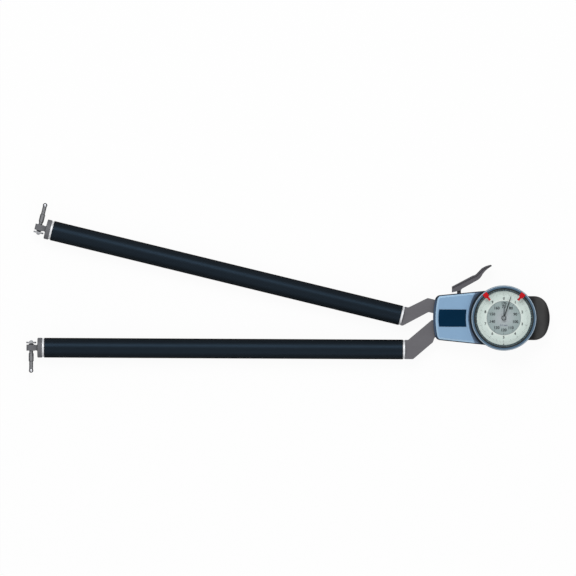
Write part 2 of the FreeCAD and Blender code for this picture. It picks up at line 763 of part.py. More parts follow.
for number, x in enumerate(SCREW_XS, 1):
    screw = slotted_screw("arm_screw_%d" % number, "screw_radius - pin_fit", "screw_head",
                          "screw_head_high", "arm_thick + arm_lift")
    seat(screw, x, SCREW_Y, "arm_top")
cover_screw = slotted_screw("cover_screw", "case_screw_radius", "case_head_radius",
                            "case_head_thick", "cover_thick + case_screw_reach/2")
seat(cover_screw, "-pivot_distance", "0",
     "shell_height + cover_thick - case_head_sink - case_head_thick", "30")
for number, (x, y) in enumerate(CASE_SPOTS, 1):
    screw = slotted_screw("case_screw_%d" % number, "case_screw_radius", "case_head_radius",
                          "case_head_thick",
                          "shell_height + case_screw_bite - case_head_sink - case_head_thick")
    screw.Placement = FreeCAD.Placement(FreeCAD.Vector(0, 0, 0), TURNED_OVER)
    seat(screw, x, y, "case_head_sink + case_head_thick")

for name in ("moving", "fixed"):
    moving = name == "moving"
    drop = "-tube_drop" if moving else "-fixed_drop"
    lead = "" if moving else "fixed_"
    near = "-tube_start" if moving else "-fixed_start"
    far = "-%stip_start" % lead
    pin_x = "-%spin_line" % lead

    tube = new_body(name + "_tube")
    turn(tube, "XY_Plane", "H_Axis", [
        ("0", "tube_outer/2 - tube_wall"),
        ("0", "tube_outer/2 - 0.2"),
        ("-0.2", "tube_outer/2"),
        ("0.2 - tube_length", "tube_outer/2"),
        ("-tube_length", "tube_outer/2 - 0.2"),
        ("-tube_length", "tube_outer/2 - tube_wall"),
    ])
    seat_on_arm(tube, moving, near, drop)

    for end, way, start in (("inner", "1*", near), ("outer", "-1*", far)):
        collar = new_body("%s_collar_%s" % (name, end))
        turn(collar, "XY_Plane", "H_Axis", [
            (way + "collar_width", "0"),
            (way + "collar_width", "tube_outer/2 - collar_step"),
            ("0", "tube_outer/2 - collar_step"),
            ("0", "tube_outer/2 - tube_wall - plug_fit"),
            ("0 - %splug_length" % way, "tube_outer/2 - tube_wall - plug_fit"),
            ("0 - %splug_length" % way, "0"),
        ])
        seat_on_arm(collar, moving, start, drop)

    holder = new_body(name + "_tip_holder")
    turn(holder, "XY_Plane", "H_Axis", [
        ("0", "0"),
        ("0", "tube_outer/2 - 0.3"),
        ("-0.3", "tube_outer/2"),
        ("0.5 - flange_thick", "tube_outer/2"),
        ("-flange_thick", "tube_outer/2 - 0.5"),
        ("-flange_thick", "0"),
    ])
    BAR_END = "collar_width - pin_reach - block_outer"
    BAR_STEP = "collar_width - pin_reach + block_inner"
    pad(holder, [[
        ("-flange_thick/2", "bar_width/2 + bar_fillet"),
        ("-flange_thick/2", "-bar_width/2 - bar_fillet"),
        ("-flange_thick", "-bar_width/2 - bar_fillet"),
        ("arc", "bar_fillet"),
        ("-flange_thick - bar_fillet", "-bar_width/2"),
        (BAR_STEP, "-bar_width/2"),
        (BAR_STEP, "-block_width/2"),
        (BAR_END, "-block_width/2"),
        (BAR_END, "block_width/2"),
        (BAR_STEP, "block_width/2"),
        (BAR_STEP, "bar_width/2"),
        ("-flange_thick - bar_fillet", "bar_width/2"),
        ("arc", "bar_fillet"),
        ("-flange_thick", "bar_width/2 + bar_fillet"),
    ]], "-bar_depth/2", "bar_depth")
    round_edges(holder, "bar_depth/4", lambda edge: abs(edge.BoundBox.XMax - value(BAR_END)) < 1e-6
                and edge.BoundBox.YLength > 1)
    hole = holder.newObject("Sketcher::SketchObject", name + "_hole_sketch")
    side = [f for f in holder.Origin.OriginFeatures if f.Role == "XZ_Plane"][0]
    hole.AttachmentSupport = (side, [""])
    hole.MapMode = "FlatFace"
    add_circle(hole, "collar_width - pin_reach", "0", "pin_thread_radius + pin_fit")
    bore = holder.newObject("PartDesign::Pocket", name + "_bore")
    bore.Profile = hole
    bore.Midplane = True
    bore.setExpression("Length", q("2*block_width"))
    seat_on_arm(holder, moving, far + " - collar_width", drop)

    pin = new_body(name + "_contact_pin")
    turn(pin, "XY_Plane", "V_Axis", [
        ("0", "-block_width/2 - washer_rise - nut_thick"),
        ("pin_thread_radius", "-block_width/2 - washer_rise - nut_thick"),
        ("pin_thread_radius", "block_width/2"),
        ("pin_radius", "block_width/2"),
        ("pin_radius", "pin_collar_low - 0.3"),
        ("pin_collar_radius", "pin_collar_low"),
        ("pin_collar_radius", "pin_collar_high"),
        ("pin_radius", "pin_collar_high + 0.5"),
        ("pin_radius", "ball_reach - sqrt(ball_radius^2 - pin_radius^2)"),
        ("arc", "-ball_radius"),
        ("0", "ball_reach - ball_radius"),
    ])
    seat_on_arm(pin, moving, pin_x, drop)

    ball = doc.addObject("Part::Sphere", name + "_contact_ball")
    ball.Label = name + "_contact_ball"
    ball.setExpression("Radius", q("ball_radius"))
    seat_on_arm(ball, moving, pin_x, drop + (" + ball_reach" if moving else " - ball_reach"))

    washer = new_body(name + "_washer")
    turn(washer, "XY_Plane", "V_Axis", [
        ("pin_thread_radius + pin_fit", "-block_width/2 - washer_rise"),
        ("pin_thread_radius + pin_fit", "washer_thick - block_width/2 - washer_rise"),
        ("washer_radius", "-block_width/2"),
        ("washer_radius", "-block_width/2 - washer_thick"),
    ])
    seat_on_arm(washer, moving, pin_x, drop)

    nut = new_body(name + "_lock_nut")
    turn(nut, "XY_Plane", "V_Axis", [
        ("pin_thread_radius + pin_fit", "-block_width/2 - washer_rise"),
        ("nut_radius", "-block_width/2 - washer_rise"),
        ("nut_radius", "-block_width/2 - washer_rise - nut_thick"),
        ("nut_dome_radius", "-block_width/2 - washer_rise - nut_thick"),
        ("arc", "-(nut_dome_radius^2 + nut_dome_height^2)/(2*nut_dome_height)"),
        ("0", "-block_width/2 - washer_rise - nut_thick - nut_dome_height"),
        ("0", "-block_width/2 - washer_rise - nut_thick"),
        ("pin_thread_radius + pin_fit", "-block_width/2 - washer_rise - nut_thick"),
    ])
    seat_on_arm(nut, moving, pin_x, drop)

# Release lever, drawn about its fulcrum. The fork reaches down from there, and its line leans.

lever = new_body("release_lever")


def on_fork(along, across):
    """A point of the fork, by its distance along the fork's line and across it."""
    return ("(%s)*sin(fork_lean) + (%s)*cos(fork_lean)" % (along, across),
            "(%s)*sin(fork_lean) - (%s)*cos(fork_lean)" % (across, along))


pad(lever, [[
    ("-blade_left", "lever_rise"),
    ("stem_half", "lever_rise + stem_half"),
    ("arc", "-armpit_round"),
    ("stem_half + 0.6*armpit_round", "lever_rise + stem_half + 0.73*armpit_round"),
    ("knee_low_x", "knee_low_y"),
    ("arc", "knee_round"),
    ("thumb_low_x", "thumb_low_y"),
    ("arc", "-thumb_hollow"),
    ("nose_low_x", "nose_low_y"),
    ("arc", "nose_round"),
    ("nose_high_x", "nose_high_y"),
    ("arc", "thumb_crown"),
    ("thumb_high_x", "thumb_high_y"),
    ("crook_x", "crook_y"),
    ("arc", "-crook_round"),
    ("bend_x", "bend_y"),
    ("-blade_left", "blade_top"),
]], "-lever_web/2", "lever_web")
# flange along the upper edge, as wide as the lever is deep
pad(lever, [[
    ("-blade_left", "blade_top - lever_flange"),
    ("bend_x + 0.5*lever_flange", "bend_y - 0.9*lever_flange"),
    ("arc", "crook_round"),
    ("crook_x + 0.7*lever_flange", "crook_y - 0.7*lever_flange"),
    ("thumb_high_x + 0.6*lever_flange", "thumb_high_y - 0.8*lever_flange"),
    ("arc", "-thumb_crown"),
    ("nose_high_x + 0.2*lever_flange", "nose_high_y - 0.85*lever_flange"),
    ("nose_high_x", "nose_high_y"),
    ("arc", "thumb_crown"),
    ("thumb_high_x", "thumb_high_y"),
    ("crook_x", "crook_y"),
    ("arc", "-crook_round"),
    ("bend_x", "bend_y"),
    ("-blade_left", "blade_top"),
]], "-lever_depth/2", "lever_depth")
pad(lever, [[
    ("-stem_half", "lever_rise + stem_thick"),
    ("-stem_half", "0"),
    ("stem_half", "0"),
    ("stem_half", "lever_rise + stem_thick"),
]], "-stem_thick/2", "stem_thick")
pad(lever, [[
    on_fork("0", "fork_half"),
    on_fork("0", "-fork_half"),
    on_fork("lever_arm + fork_reach", "-fork_half"),
    on_fork("lever_arm + fork_reach", "fork_half"),
]], "-stem_thick/2", "stem_thick")
pad(lever, [("0", "0", "eye_radius")], "-stem_thick/2", "stem_thick")
cut(lever, [[
    on_fork("lever_arm - drive_radius - 2*fork_fit", "drive_radius + fork_fit"),
    on_fork("lever_arm - drive_radius - 2*fork_fit", "-drive_radius - fork_fit"),
    on_fork("lever_arm + fork_reach + 1", "-drive_radius - fork_fit"),
    on_fork("lever_arm + fork_reach + 1", "drive_radius + fork_fit"),
]], "stem_thick/2", "stem_thick")
cut(lever, [("0", "0", "fulcrum_radius + fulcrum_fit")], "stem_thick/2", "stem_thick")
seat(lever, "-fulcrum_x", "fulcrum_rise", "stem_z + stem_thick/2")

# Movement


def tooth_ring(body, pitch_radius, count, low, height, extent="360"):
    """Teeth on a disc: one tooth on the local X axis, repeated about Z."""
    half = "pi*gear_module/4*tooth_share"
    root = "%s - dedendum*gear_module" % pitch_radius
    top = "%s + addendum*gear_module" % pitch_radius
    tooth = pad(body, [[
        (root + " - 0.06", "%s + 0.364*dedendum*gear_module" % half),
        (root + " - 0.06", "0 - (%s + 0.364*dedendum*gear_module)" % half),
        (top, "0.364*addendum*gear_module - %s" % half),
        (top, "%s - 0.364*addendum*gear_module" % half),
    ]], low, height)
    ring = body.newObject("PartDesign::PolarPattern", body.Name + "_teeth")
    ring.Originals = [tooth]
    ring.Axis = (tooth.Profile[0], ["N_Axis"])
    ring.setExpression("Angle", q(extent))
    ring.setExpression("Occurrences", q(count))
    body.Tip = ring
    doc.recompute()


SECTOR_COUNT = "round(open_angle/sector_step) + 2*sector_spare + 1"
SECTOR_SPAN = "(%s - 1)*sector_step" % SECTOR_COUNT
SECTOR_ROOT = "(sector_pitch_radius - dedendum*gear_module)"
sector = new_body("sector_gear")
pad(sector, [("0", "0", "sector_hub")], "-sector_lift", "sector_lift + sector_thick")
pad(sector, [[
    ("0", "0"),
    (SECTOR_ROOT + "*cos(0.7*sector_step)", "0 - %s*sin(0.7*sector_step)" % SECTOR_ROOT),
    ("arc", SECTOR_ROOT),
    (SECTOR_ROOT + "*cos(%s + 0.7*sector_step)" % SECTOR_SPAN,
     SECTOR_ROOT + "*sin(%s + 0.7*sector_step)" % SECTOR_SPAN),
]], "0", "sector_thick")
tooth_ring(sector, "sector_pitch_radius", SECTOR_COUNT, "0", "sector_thick", SECTOR_SPAN)
cut(sector, [("0", "0", "shaft_radius + 2*bush_fit")], "sector_thick", "sector_thick + sector_lift")
seat(sector, "-pivot_distance", "0", "sector_z",
     "sector_line - sector_spare*sector_step - open_angle")

PILLARS = ["pillar_one", "pillar_two", "pillar_three"]
SPOTS = [("pillar_circle*cos(%s)" % a, "pillar_circle*sin(%s)" % a) for a in PILLARS]
for label, level, transfer_hole, centre_hole in (
        ("lower_bridge", "bridge_z", "arbor_pivot", "arbor_pivot"),
        ("upper_bridge", "upper_z", "arbor_radius", "arbor_radius")):
    bridge = new_body(label)
    pad(bridge, [("0", "0", "bridge_radius"), ("0", "0", centre_hole + " + arbor_fit"),
                 ("transfer_x", "transfer_y", transfer_hole + " + arbor_fit")]
        + [(x, y, "pillar_stub + arbor_fit") for x, y in SPOTS], "0", "bridge_thick")
    seat(bridge, z=level)
for number, (x, y) in enumerate(SPOTS, 1):
    pillar = new_body("bridge_pillar_%d" % number)
    turn(pillar, "XZ_Plane", "V_Axis", [
        ("0", "back_thick"),
        ("pillar_radius", "back_thick"),
        ("pillar_radius", "bridge_z"),
        ("pillar_stub", "bridge_z"),
        ("pillar_stub", "bridge_top"),
        ("pillar_radius", "bridge_top"),
        ("pillar_radius", "upper_z"),
        ("pillar_stub", "upper_z"),
        ("pillar_stub", "upper_top"),
        ("0", "upper_top"),
    ])
    seat(pillar, x, y)

transfer = new_body("transfer_arbor")
turn(transfer, "XZ_Plane", "V_Axis", [
    ("0", "bridge_z"),
    ("arbor_pivot", "bridge_z"),
    ("arbor_pivot", "bridge_top + 4*arbor_fit"),
    ("arbor_radius", "bridge_top + 4*arbor_fit"),
    ("arbor_radius", "hour_z + hour_thick + 0.3"),
    ("0", "hour_z + hour_thick + 0.3"),
])
pad(transfer, [("0", "0", "pinion_pitch_radius - dedendum*gear_module")],
    "sector_z - 0.3", "sector_thick + 0.6")
tooth_ring(transfer, "pinion_pitch_radius", "pinion_teeth", "sector_z - 0.3", "sector_thick + 0.6")
seat(transfer, "transfer_x", "transfer_y", "0",
     "sector_line + 180 + 180/pinion_teeth + transfer_ratio*open_angle")

wheel = new_body("transfer_wheel")
pad(wheel, [("0", "0", "wheel_pitch_radius - dedendum*gear_module"),
            ("0", "0", "arbor_radius + plug_fit")], "0", "wheel_thick")
tooth_ring(wheel, "wheel_pitch_radius", "wheel_teeth", "0", "wheel_thick")
seat(wheel, "transfer_x", "transfer_y", "wheel_z", "centre_line + transfer_ratio*open_angle")

small_wheel = new_body("transfer_small_wheel")
pad(small_wheel, [("0", "0", "hour_pitch_radius - dedendum*gear_module"),
                  ("0", "0", "arbor_radius + plug_fit")], "0", "hour_thick")
tooth_ring(small_wheel, "hour_pitch_radius", "hour_teeth", "0", "hour_thick")
seat(small_wheel, "transfer_x", "transfer_y", "hour_z", "centre_line + transfer_ratio*open_angle")

centre = new_body("centre_arbor")
turn(centre, "XZ_Plane", "V_Axis", [
    ("0", "bridge_z"),
    ("arbor_pivot", "bridge_z"),
    ("arbor_pivot", "bridge_top + 4*arbor_fit"),
    ("arbor_radius", "bridge_top + 4*arbor_fit"),
    ("arbor_radius", "upper_top"),
    ("staff_radius", "upper_top"),
    ("staff_radius", "long_z + hand_thick"),
    ("0", "long_z + hand_thick"),
])
pad(centre, [("0", "0", "pinion_pitch_radius - dedendum*gear_module")],
    "wheel_z - 0.3", "wheel_thick + 0.6")
tooth_ring(centre, "pinion_pitch_radius", "pinion_teeth", "wheel_z - 0.3", "wheel_thick + 0.6")
seat(centre, "0", "0", "0", "centre_line + 180 + 180/pinion_teeth - long_ratio*open_angle")

hour = new_body("hour_wheel")
turn(hour, "XZ_Plane", "V_Axis", [
    ("staff_radius + 3*arbor_fit", "upper_top + arbor_fit"),
    ("pipe_radius", "upper_top + arbor_fit"),
    ("pipe_radius", "short_z + hand_thick"),
    ("staff_radius + 3*arbor_fit", "short_z + hand_thick"),
])
pad(hour, [("0", "0", "hour_pitch_radius - dedendum*gear_module"),
           ("0", "0", "staff_radius + 3*arbor_fit")], "hour_z", "hour_thick")
tooth_ring(hour, "hour_pitch_radius", "hour_teeth", "hour_z", "hour_thick")
seat(hour, "0", "0", "0", "centre_line + 180 + 180/hour_teeth - transfer_ratio*open_angle")

# Dial

dial_base = new_body("dial_base")
pad(dial_base, [("0", "0", "cup_seat_bore - ring_fit"), ("0", "0", "pipe_radius + 4*arbor_fit")],
    "0", "dial_base_thick")
seat(dial_base, z="dial_base_z")
disc = new_body("inner_dial")
pad(disc, [("0", "0", "disc_radius"), ("0", "0", "pipe_radius + 4*arbor_fit")],
    "0", "disc_top - dial_floor")
seat(disc, z="dial_floor")

bezel = new_body("bezel")
turn(bezel, "XZ_Plane", "V_Axis", [
    ("cup_radius + bezel_fit", "rim_z - bezel_skirt"),
    ("bezel_radius", "rim_z - bezel_skirt"),
    ("bezel_radius", "bezel_top - bezel_flat"),
    ("bezel_radius - 0.7*bezel_flat", "bezel_top"),
    ("glass_radius + glass_fit", "bezel_top"),
    ("glass_radius + glass_fit", "ledge_z"),
    ("glass_radius - glass_ledge", "ledge_z"),
    ("bezel_window", "ring_top + bezel_lip"),
    ("bezel_window", "ring_top"),
    ("ring_outer + ring_fit", "ring_top"),
    ("ring_outer + ring_fit", "bezel_floor"),
    ("cup_radius + bezel_fit", "bezel_floor"),
])
ring = new_body("scale_ring")
pad(ring, [("0", "0", "ring_outer"), ("0", "0", "ring_inner")], "0", "ring_thick")
seat(ring, z="ring_z")
seal = new_body("glass_seal")
pad(seal, [("0", "0", "glass_radius"), ("0", "0", "glass_radius - glass_ledge")], "0", "seal_thick")
seat(seal, z="ledge_z")
glass = cylinder("dial_glass", "glass_radius", "glass_thick")
seat(glass, z="glass_z")

for label, length, width, bore, level, turned_by in (
        ("short_pointer", "short_length", "short_width", "pipe_radius", "short_z", "transfer_ratio"),
        ("long_pointer", "long_length", "long_width", "staff_radius", "long_z", "long_ratio")):
    hand = new_body(label)
    pad(hand, [[
        (width + "/2", "0"),
        ("0.3*%s" % width, length + " - 1"),
        ("0.12*%s" % width, length),
        ("-0.12*%s" % width, length),
        ("-0.3*%s" % width, length + " - 1"),
        ("-%s/2" % width, "0"),
    ]], "0", "hand_thick")
    pad(hand, [("0", "0", "hand_hub")], "0", "hand_thick")
    cut(hand, [("0", "0", bore + " + plug_fit")], "hand_thick", "hand_thick")
    seat(hand, "0", "0", level, "0 - %s*open_angle" % turned_by)

cap = new_body("pointer_cap")
turn(cap, "XZ_Plane", "V_Axis", [
    ("0", "0"),
    ("0.9*hand_hub", "0"),
    ("0.9*hand_hub", "cap_height/3"),
    ("0.6*hand_hub", "cap_height"),
    ("0", "cap_height"),
])
seat(cap, z="long_z + hand_thick")

for label, way in (("marker_left", "1"), ("marker_right", "-1")):
    marker = new_body(label)
    pad(marker, [[
        ("-0.44*marker_width", "marker_centre - marker_depth/2"),
        ("0.44*marker_width", "marker_centre - marker_depth/2"),
        ("marker_width/2", "marker_centre + marker_depth/2"),
        ("arc", "marker_centre + marker_depth/2"),
        ("-marker_width/2", "marker_centre + marker_depth/2"),
    ]], "0", "marker_thick")
    pad(marker, [[
        ("-marker_tail_width/2", "marker_tail"),
        ("marker_tail_width/2", "marker_tail"),
        ("marker_tail_width/2", "marker_centre"),
        ("-marker_tail_width/2", "marker_centre"),
    ]], "0", "marker_thick/2")
    seat(marker, "0", "0", "bezel_top + marker_lift", "%s*marker_angle" % way)

# Check and write

doc.recompute()
for thing in doc.Objects:
    if "Invalid" in thing.State or "Error" in thing.State:
        raise ValueError(thing.Label + ": " + ", ".join(thing.State))
parts = [thing for thing in doc.RootObjects if thing.TypeId != "Spreadsheet::Sheet"]
for thing in parts:
    if thing.Shape.isNull() or not thing.Shape.isValid() or len(thing.Shape.Solids) != 1:
        raise ValueError(thing.Label + ": not one sound solid")
os.makedirs("parts", exist_ok=True)
for thing in parts:
    thing.Shape.exportStep("parts/%s.step" % thing.Label)
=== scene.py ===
import math

import bpy
from mathutils import Matrix, Vector


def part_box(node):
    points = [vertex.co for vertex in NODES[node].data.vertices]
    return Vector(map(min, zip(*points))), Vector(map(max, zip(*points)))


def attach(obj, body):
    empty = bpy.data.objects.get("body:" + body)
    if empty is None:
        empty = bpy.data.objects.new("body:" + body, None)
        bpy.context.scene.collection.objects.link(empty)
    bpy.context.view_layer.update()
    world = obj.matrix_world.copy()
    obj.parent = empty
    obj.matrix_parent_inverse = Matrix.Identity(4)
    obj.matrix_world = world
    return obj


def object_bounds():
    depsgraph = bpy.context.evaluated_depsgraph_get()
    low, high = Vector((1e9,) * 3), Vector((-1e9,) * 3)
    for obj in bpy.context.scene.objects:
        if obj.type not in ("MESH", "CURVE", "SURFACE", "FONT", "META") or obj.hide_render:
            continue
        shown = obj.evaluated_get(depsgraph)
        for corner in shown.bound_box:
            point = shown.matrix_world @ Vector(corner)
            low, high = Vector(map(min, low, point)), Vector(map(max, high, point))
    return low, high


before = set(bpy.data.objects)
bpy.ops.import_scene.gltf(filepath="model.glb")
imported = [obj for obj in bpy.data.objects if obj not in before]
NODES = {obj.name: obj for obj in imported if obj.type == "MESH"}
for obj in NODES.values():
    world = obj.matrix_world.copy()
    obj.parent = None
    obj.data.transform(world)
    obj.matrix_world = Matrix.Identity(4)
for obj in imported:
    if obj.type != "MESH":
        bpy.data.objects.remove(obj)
cad_low, cad_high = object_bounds()

# Inside caliper gauge, metres, in the frame of the CAD model: the origin is where the
# dial axis meets the flat back, +Z points out of the dial and -X runs along the arms.

MM = 0.001

# Camera of the photograph: it looks straight down, and one pixel is one millimetre.
PHOTO_SIZE = 576
DIAL_PIXEL = (503.7, 318.0)
PHOTO_TURN = 0.00506
LENS = 500.0
SENSOR = 36.0
FOCUS_LEVEL = 22 * MM

# Streaks on the wall inside the dial window, counted round a full turn
STREAKS = 72

# Edge of the blue paint beside the dial, where the painted shade of the slate crescent begins: an arc about
# a point on the cover's middle line
COVER_ARC = 49.0
COVER_ARC_X = 13.6

# Lock nut, lengths in millimetres: the rim's thickness, its middle's distance from the ball along
# the pin, and the ribs round it
NUT_RIM = 1.6
NUT_REACH = 28.0
NUT_RIBS = 44
RIB_WIDTH = 0.3
RIB_RISE = 0.1
RIB_ROOT = 0.2

# Dial graphics, all lengths in millimetres
RING_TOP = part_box("scale_ring")[1].z / MM
DISC_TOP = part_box("inner_dial")[1].z / MM
PRINT_RISE = 0.03
RING_NUMBER_RADIUS = 19.4
RING_NUMBER_HEIGHT = 2.55
RING_NUMBER_BOLD = 0.14
DISC_NUMBER_RADIUS = 12.1
DISC_NUMBER_HEIGHT = 2.7
DISC_NUMBER_BOLD = 0.15
INDEX_TIP = 25.3
INDEX_FOOT = 26.8
INDEX_WIDTH = 1.5


def srgb(red, green, blue):
    """A colour as it looks on screen, 0 to 255, as the renderer counts it."""
    def linear(channel):
        channel /= 255
        return channel / 12.92 if channel <= 0.04045 else ((channel + 0.055) / 1.055) ** 2.4
    return (linear(red), linear(green), linear(blue), 1.0)


# Node helpers


class Nodes:
    """Short ways to add and link the nodes of one tree."""

    def __init__(self, tree):
        self.tree = tree

    def add(self, kind, inputs=None, **settings):
        node = self.tree.nodes.new(kind)
        for name, setting in settings.items():
            setattr(node, name, setting)
        for name, given in (inputs or {}).items():
            self.put(node.inputs[name], given)
        return node

    def put(self, socket, given):
        if isinstance(given, bpy.types.NodeSocket):
            self.tree.links.new(given, socket)
        else:
            socket.default_value = given

    def maths(self, operation, first, second=0.0, clamp=False):
        node = self.add("ShaderNodeMath", {0: first, 1: second}, operation=operation)
        node.use_clamp = clamp
        return node.outputs[0]

    def blend(self, share, first, second, kind="MIX"):
        """Two colours, mixed by a share."""
        node = self.add("ShaderNodeMix", data_type="RGBA", blend_type=kind)
        self.put(node.inputs[0], share)
        self.put(node.inputs[6], first)
        self.put(node.inputs[7], second)
        return node.outputs[2]

    def spread(self, given, low, high, to_low=0.0, to_high=1.0, smooth=False):
        """A value mapped from one span onto another, held at the ends."""
        node = self.add("ShaderNodeMapRange", {
            "Value": given, "From Min": low, "From Max": high, "To Min": to_low, "To Max": to_high})
        if smooth:
            node.interpolation_type = "SMOOTHSTEP"
        return node.outputs["Result"]


def new_group(name, inputs, outputs):
    """An empty shader node group with named sockets: its helper, its inputs and its end node."""
    tree = bpy.data.node_groups.new(name, "ShaderNodeTree")
    for socket, kind, start in inputs:
        made = tree.interface.new_socket(socket, in_out="INPUT", socket_type="NodeSocket" + kind)
        made.default_value = start
    for socket, kind in outputs:
        tree.interface.new_socket(socket, in_out="OUTPUT", socket_type="NodeSocket" + kind)
    nodes = Nodes(tree)
    start = nodes.add("NodeGroupInput")
    end = nodes.add("NodeGroupOutput")
    return nodes, start.outputs, end.inputs


def grain_group():
    """Colour drift, roughness drift and fine relief. Stretch draws the grain out along an axis."""
    nodes, given, out = new_group("surface_grain", [
        ("Colour", "Color", (0.5, 0.5, 0.5, 1)), ("Scale", "Float", 900.0),
        ("Stretch", "Vector", (1, 1, 1)), ("Drift", "Float", 0.1),
        ("Smoothest", "Float", 0.3), ("Roughest", "Float", 0.5)],
        [("Colour", "Color"), ("Roughness", "Float"), ("Height", "Float")])
    place = nodes.add("ShaderNodeTexCoord").outputs["Object"]
    drawn = nodes.add("ShaderNodeMapping", {"Vector": place, "Scale": given["Stretch"]}).outputs[0]
    fine = nodes.add("ShaderNodeTexNoise", {
        "Vector": drawn, "Scale": given["Scale"], "Detail": 3.0}).outputs["Fac"]
    wide = nodes.add("ShaderNodeTexNoise", {
        "Vector": drawn, "Scale": nodes.maths("MULTIPLY", given["Scale"], 0.05),
        "Detail": 4.0, "Roughness": 0.6}).outputs["Fac"]
    both = nodes.maths("ADD", nodes.maths("MULTIPLY", fine, 0.45), nodes.maths("MULTIPLY", wide, 0.55))
    share = nodes.spread(both, 0.35, 0.65)
    less = nodes.maths("SUBTRACT", 1.0, given["Drift"])
    more = nodes.maths("ADD", 1.0, given["Drift"])
    factor = nodes.spread(share, 0.0, 1.0, less, more)
    nodes.put(out["Colour"], nodes.blend(1.0, given["Colour"], factor, "MULTIPLY"))
    nodes.put(out["Roughness"], nodes.spread(share, 0.0, 1.0, given["Smoothest"], given["Roughest"]))
    nodes.put(out["Height"], fine)
    return nodes.tree


def edge_group():
    """Rounded edges for shading, and an edge colour: lighter where hands rub them, or painted shade where a
    dark edge colour is given.
    """
    nodes, given, out = new_group("rubbed_or_shaded_edges", [
        ("Colour", "Color", (0.5, 0.5, 0.5, 1)), ("Worn_or_shade", "Color", (0.8, 0.8, 0.8, 1)),
        ("Radius", "Float", 0.0004), ("Amount", "Float", 0.5)],
        [("Colour", "Color"), ("Normal", "Vector")])
    soft = nodes.add("ShaderNodeBevel", {"Radius": given["Radius"]}, samples=6).outputs["Normal"]
    flat = nodes.add("ShaderNodeNewGeometry").outputs["Normal"]
    turn = nodes.add("ShaderNodeVectorMath", {0: soft, 1: flat}, operation="DOT_PRODUCT")
    edge = nodes.spread(turn.outputs["Value"], 0.97, 0.75)
    place = nodes.add("ShaderNodeTexCoord").outputs["Object"]
    patchy = nodes.add("ShaderNodeTexNoise", {
        "Vector": place, "Scale": 420.0, "Detail": 3.0}).outputs["Fac"]
    mask = nodes.maths("MULTIPLY", edge, nodes.spread(patchy, 0.3, 0.6, 0.45, 1.0))
    mask = nodes.maths("MULTIPLY", mask, given["Amount"])
    nodes.put(out["Colour"], nodes.blend(mask, given["Colour"], given["Worn_or_shade"]))
    nodes.put(out["Normal"], soft)
    return nodes.tree


def round_group():
    """A share that grows as the distance from an upright axis goes from Start to Stop, in millimetres."""
    nodes, given, out = new_group("axis_distance", [
        ("Axis", "Vector", (0, 0, 0)), ("Start", "Float", 0.0), ("Stop", "Float", 1.0)],
        [("Share", "Float")])
    place = nodes.add("ShaderNodeTexCoord").outputs["Object"]
    place = nodes.add("ShaderNodeVectorMath", {0: place, 1: given["Axis"]}, operation="SUBTRACT").outputs[0]
    flat = nodes.add("ShaderNodeVectorMath", {0: place, 1: (1, 1, 0)}, operation="MULTIPLY").outputs[0]
    length = nodes.add("ShaderNodeVectorMath", {0: flat}, operation="LENGTH").outputs["Value"]
    far = nodes.maths("DIVIDE", length, MM)
    nodes.put(out["Share"], nodes.spread(far, given["Start"], given["Stop"]))
    return nodes.tree


def corner_group():
    """Painted shade where faces meet at an inner corner."""
    nodes, given, out = new_group("shaded_corners", [
        ("Colour", "Color", (0.5, 0.5, 0.5, 1)), ("Shade", "Color", (0.05, 0.05, 0.05, 1)),
        ("Reach", "Float", 0.001), ("Amount", "Float", 0.5)], [("Colour", "Color")])
    hidden = nodes.add("ShaderNodeAmbientOcclusion", {"Distance": given["Reach"]}, samples=8)
    mask = nodes.spread(hidden.outputs["AO"], 0.85, 0.35)
    mask = nodes.maths("MULTIPLY", mask, given["Amount"])
    nodes.put(out["Colour"], nodes.blend(mask, given["Colour"], given["Shade"]))
    return nodes.tree


GRAIN = grain_group()
EDGES = edge_group()
CORNERS = corner_group()
ROUND = round_group()


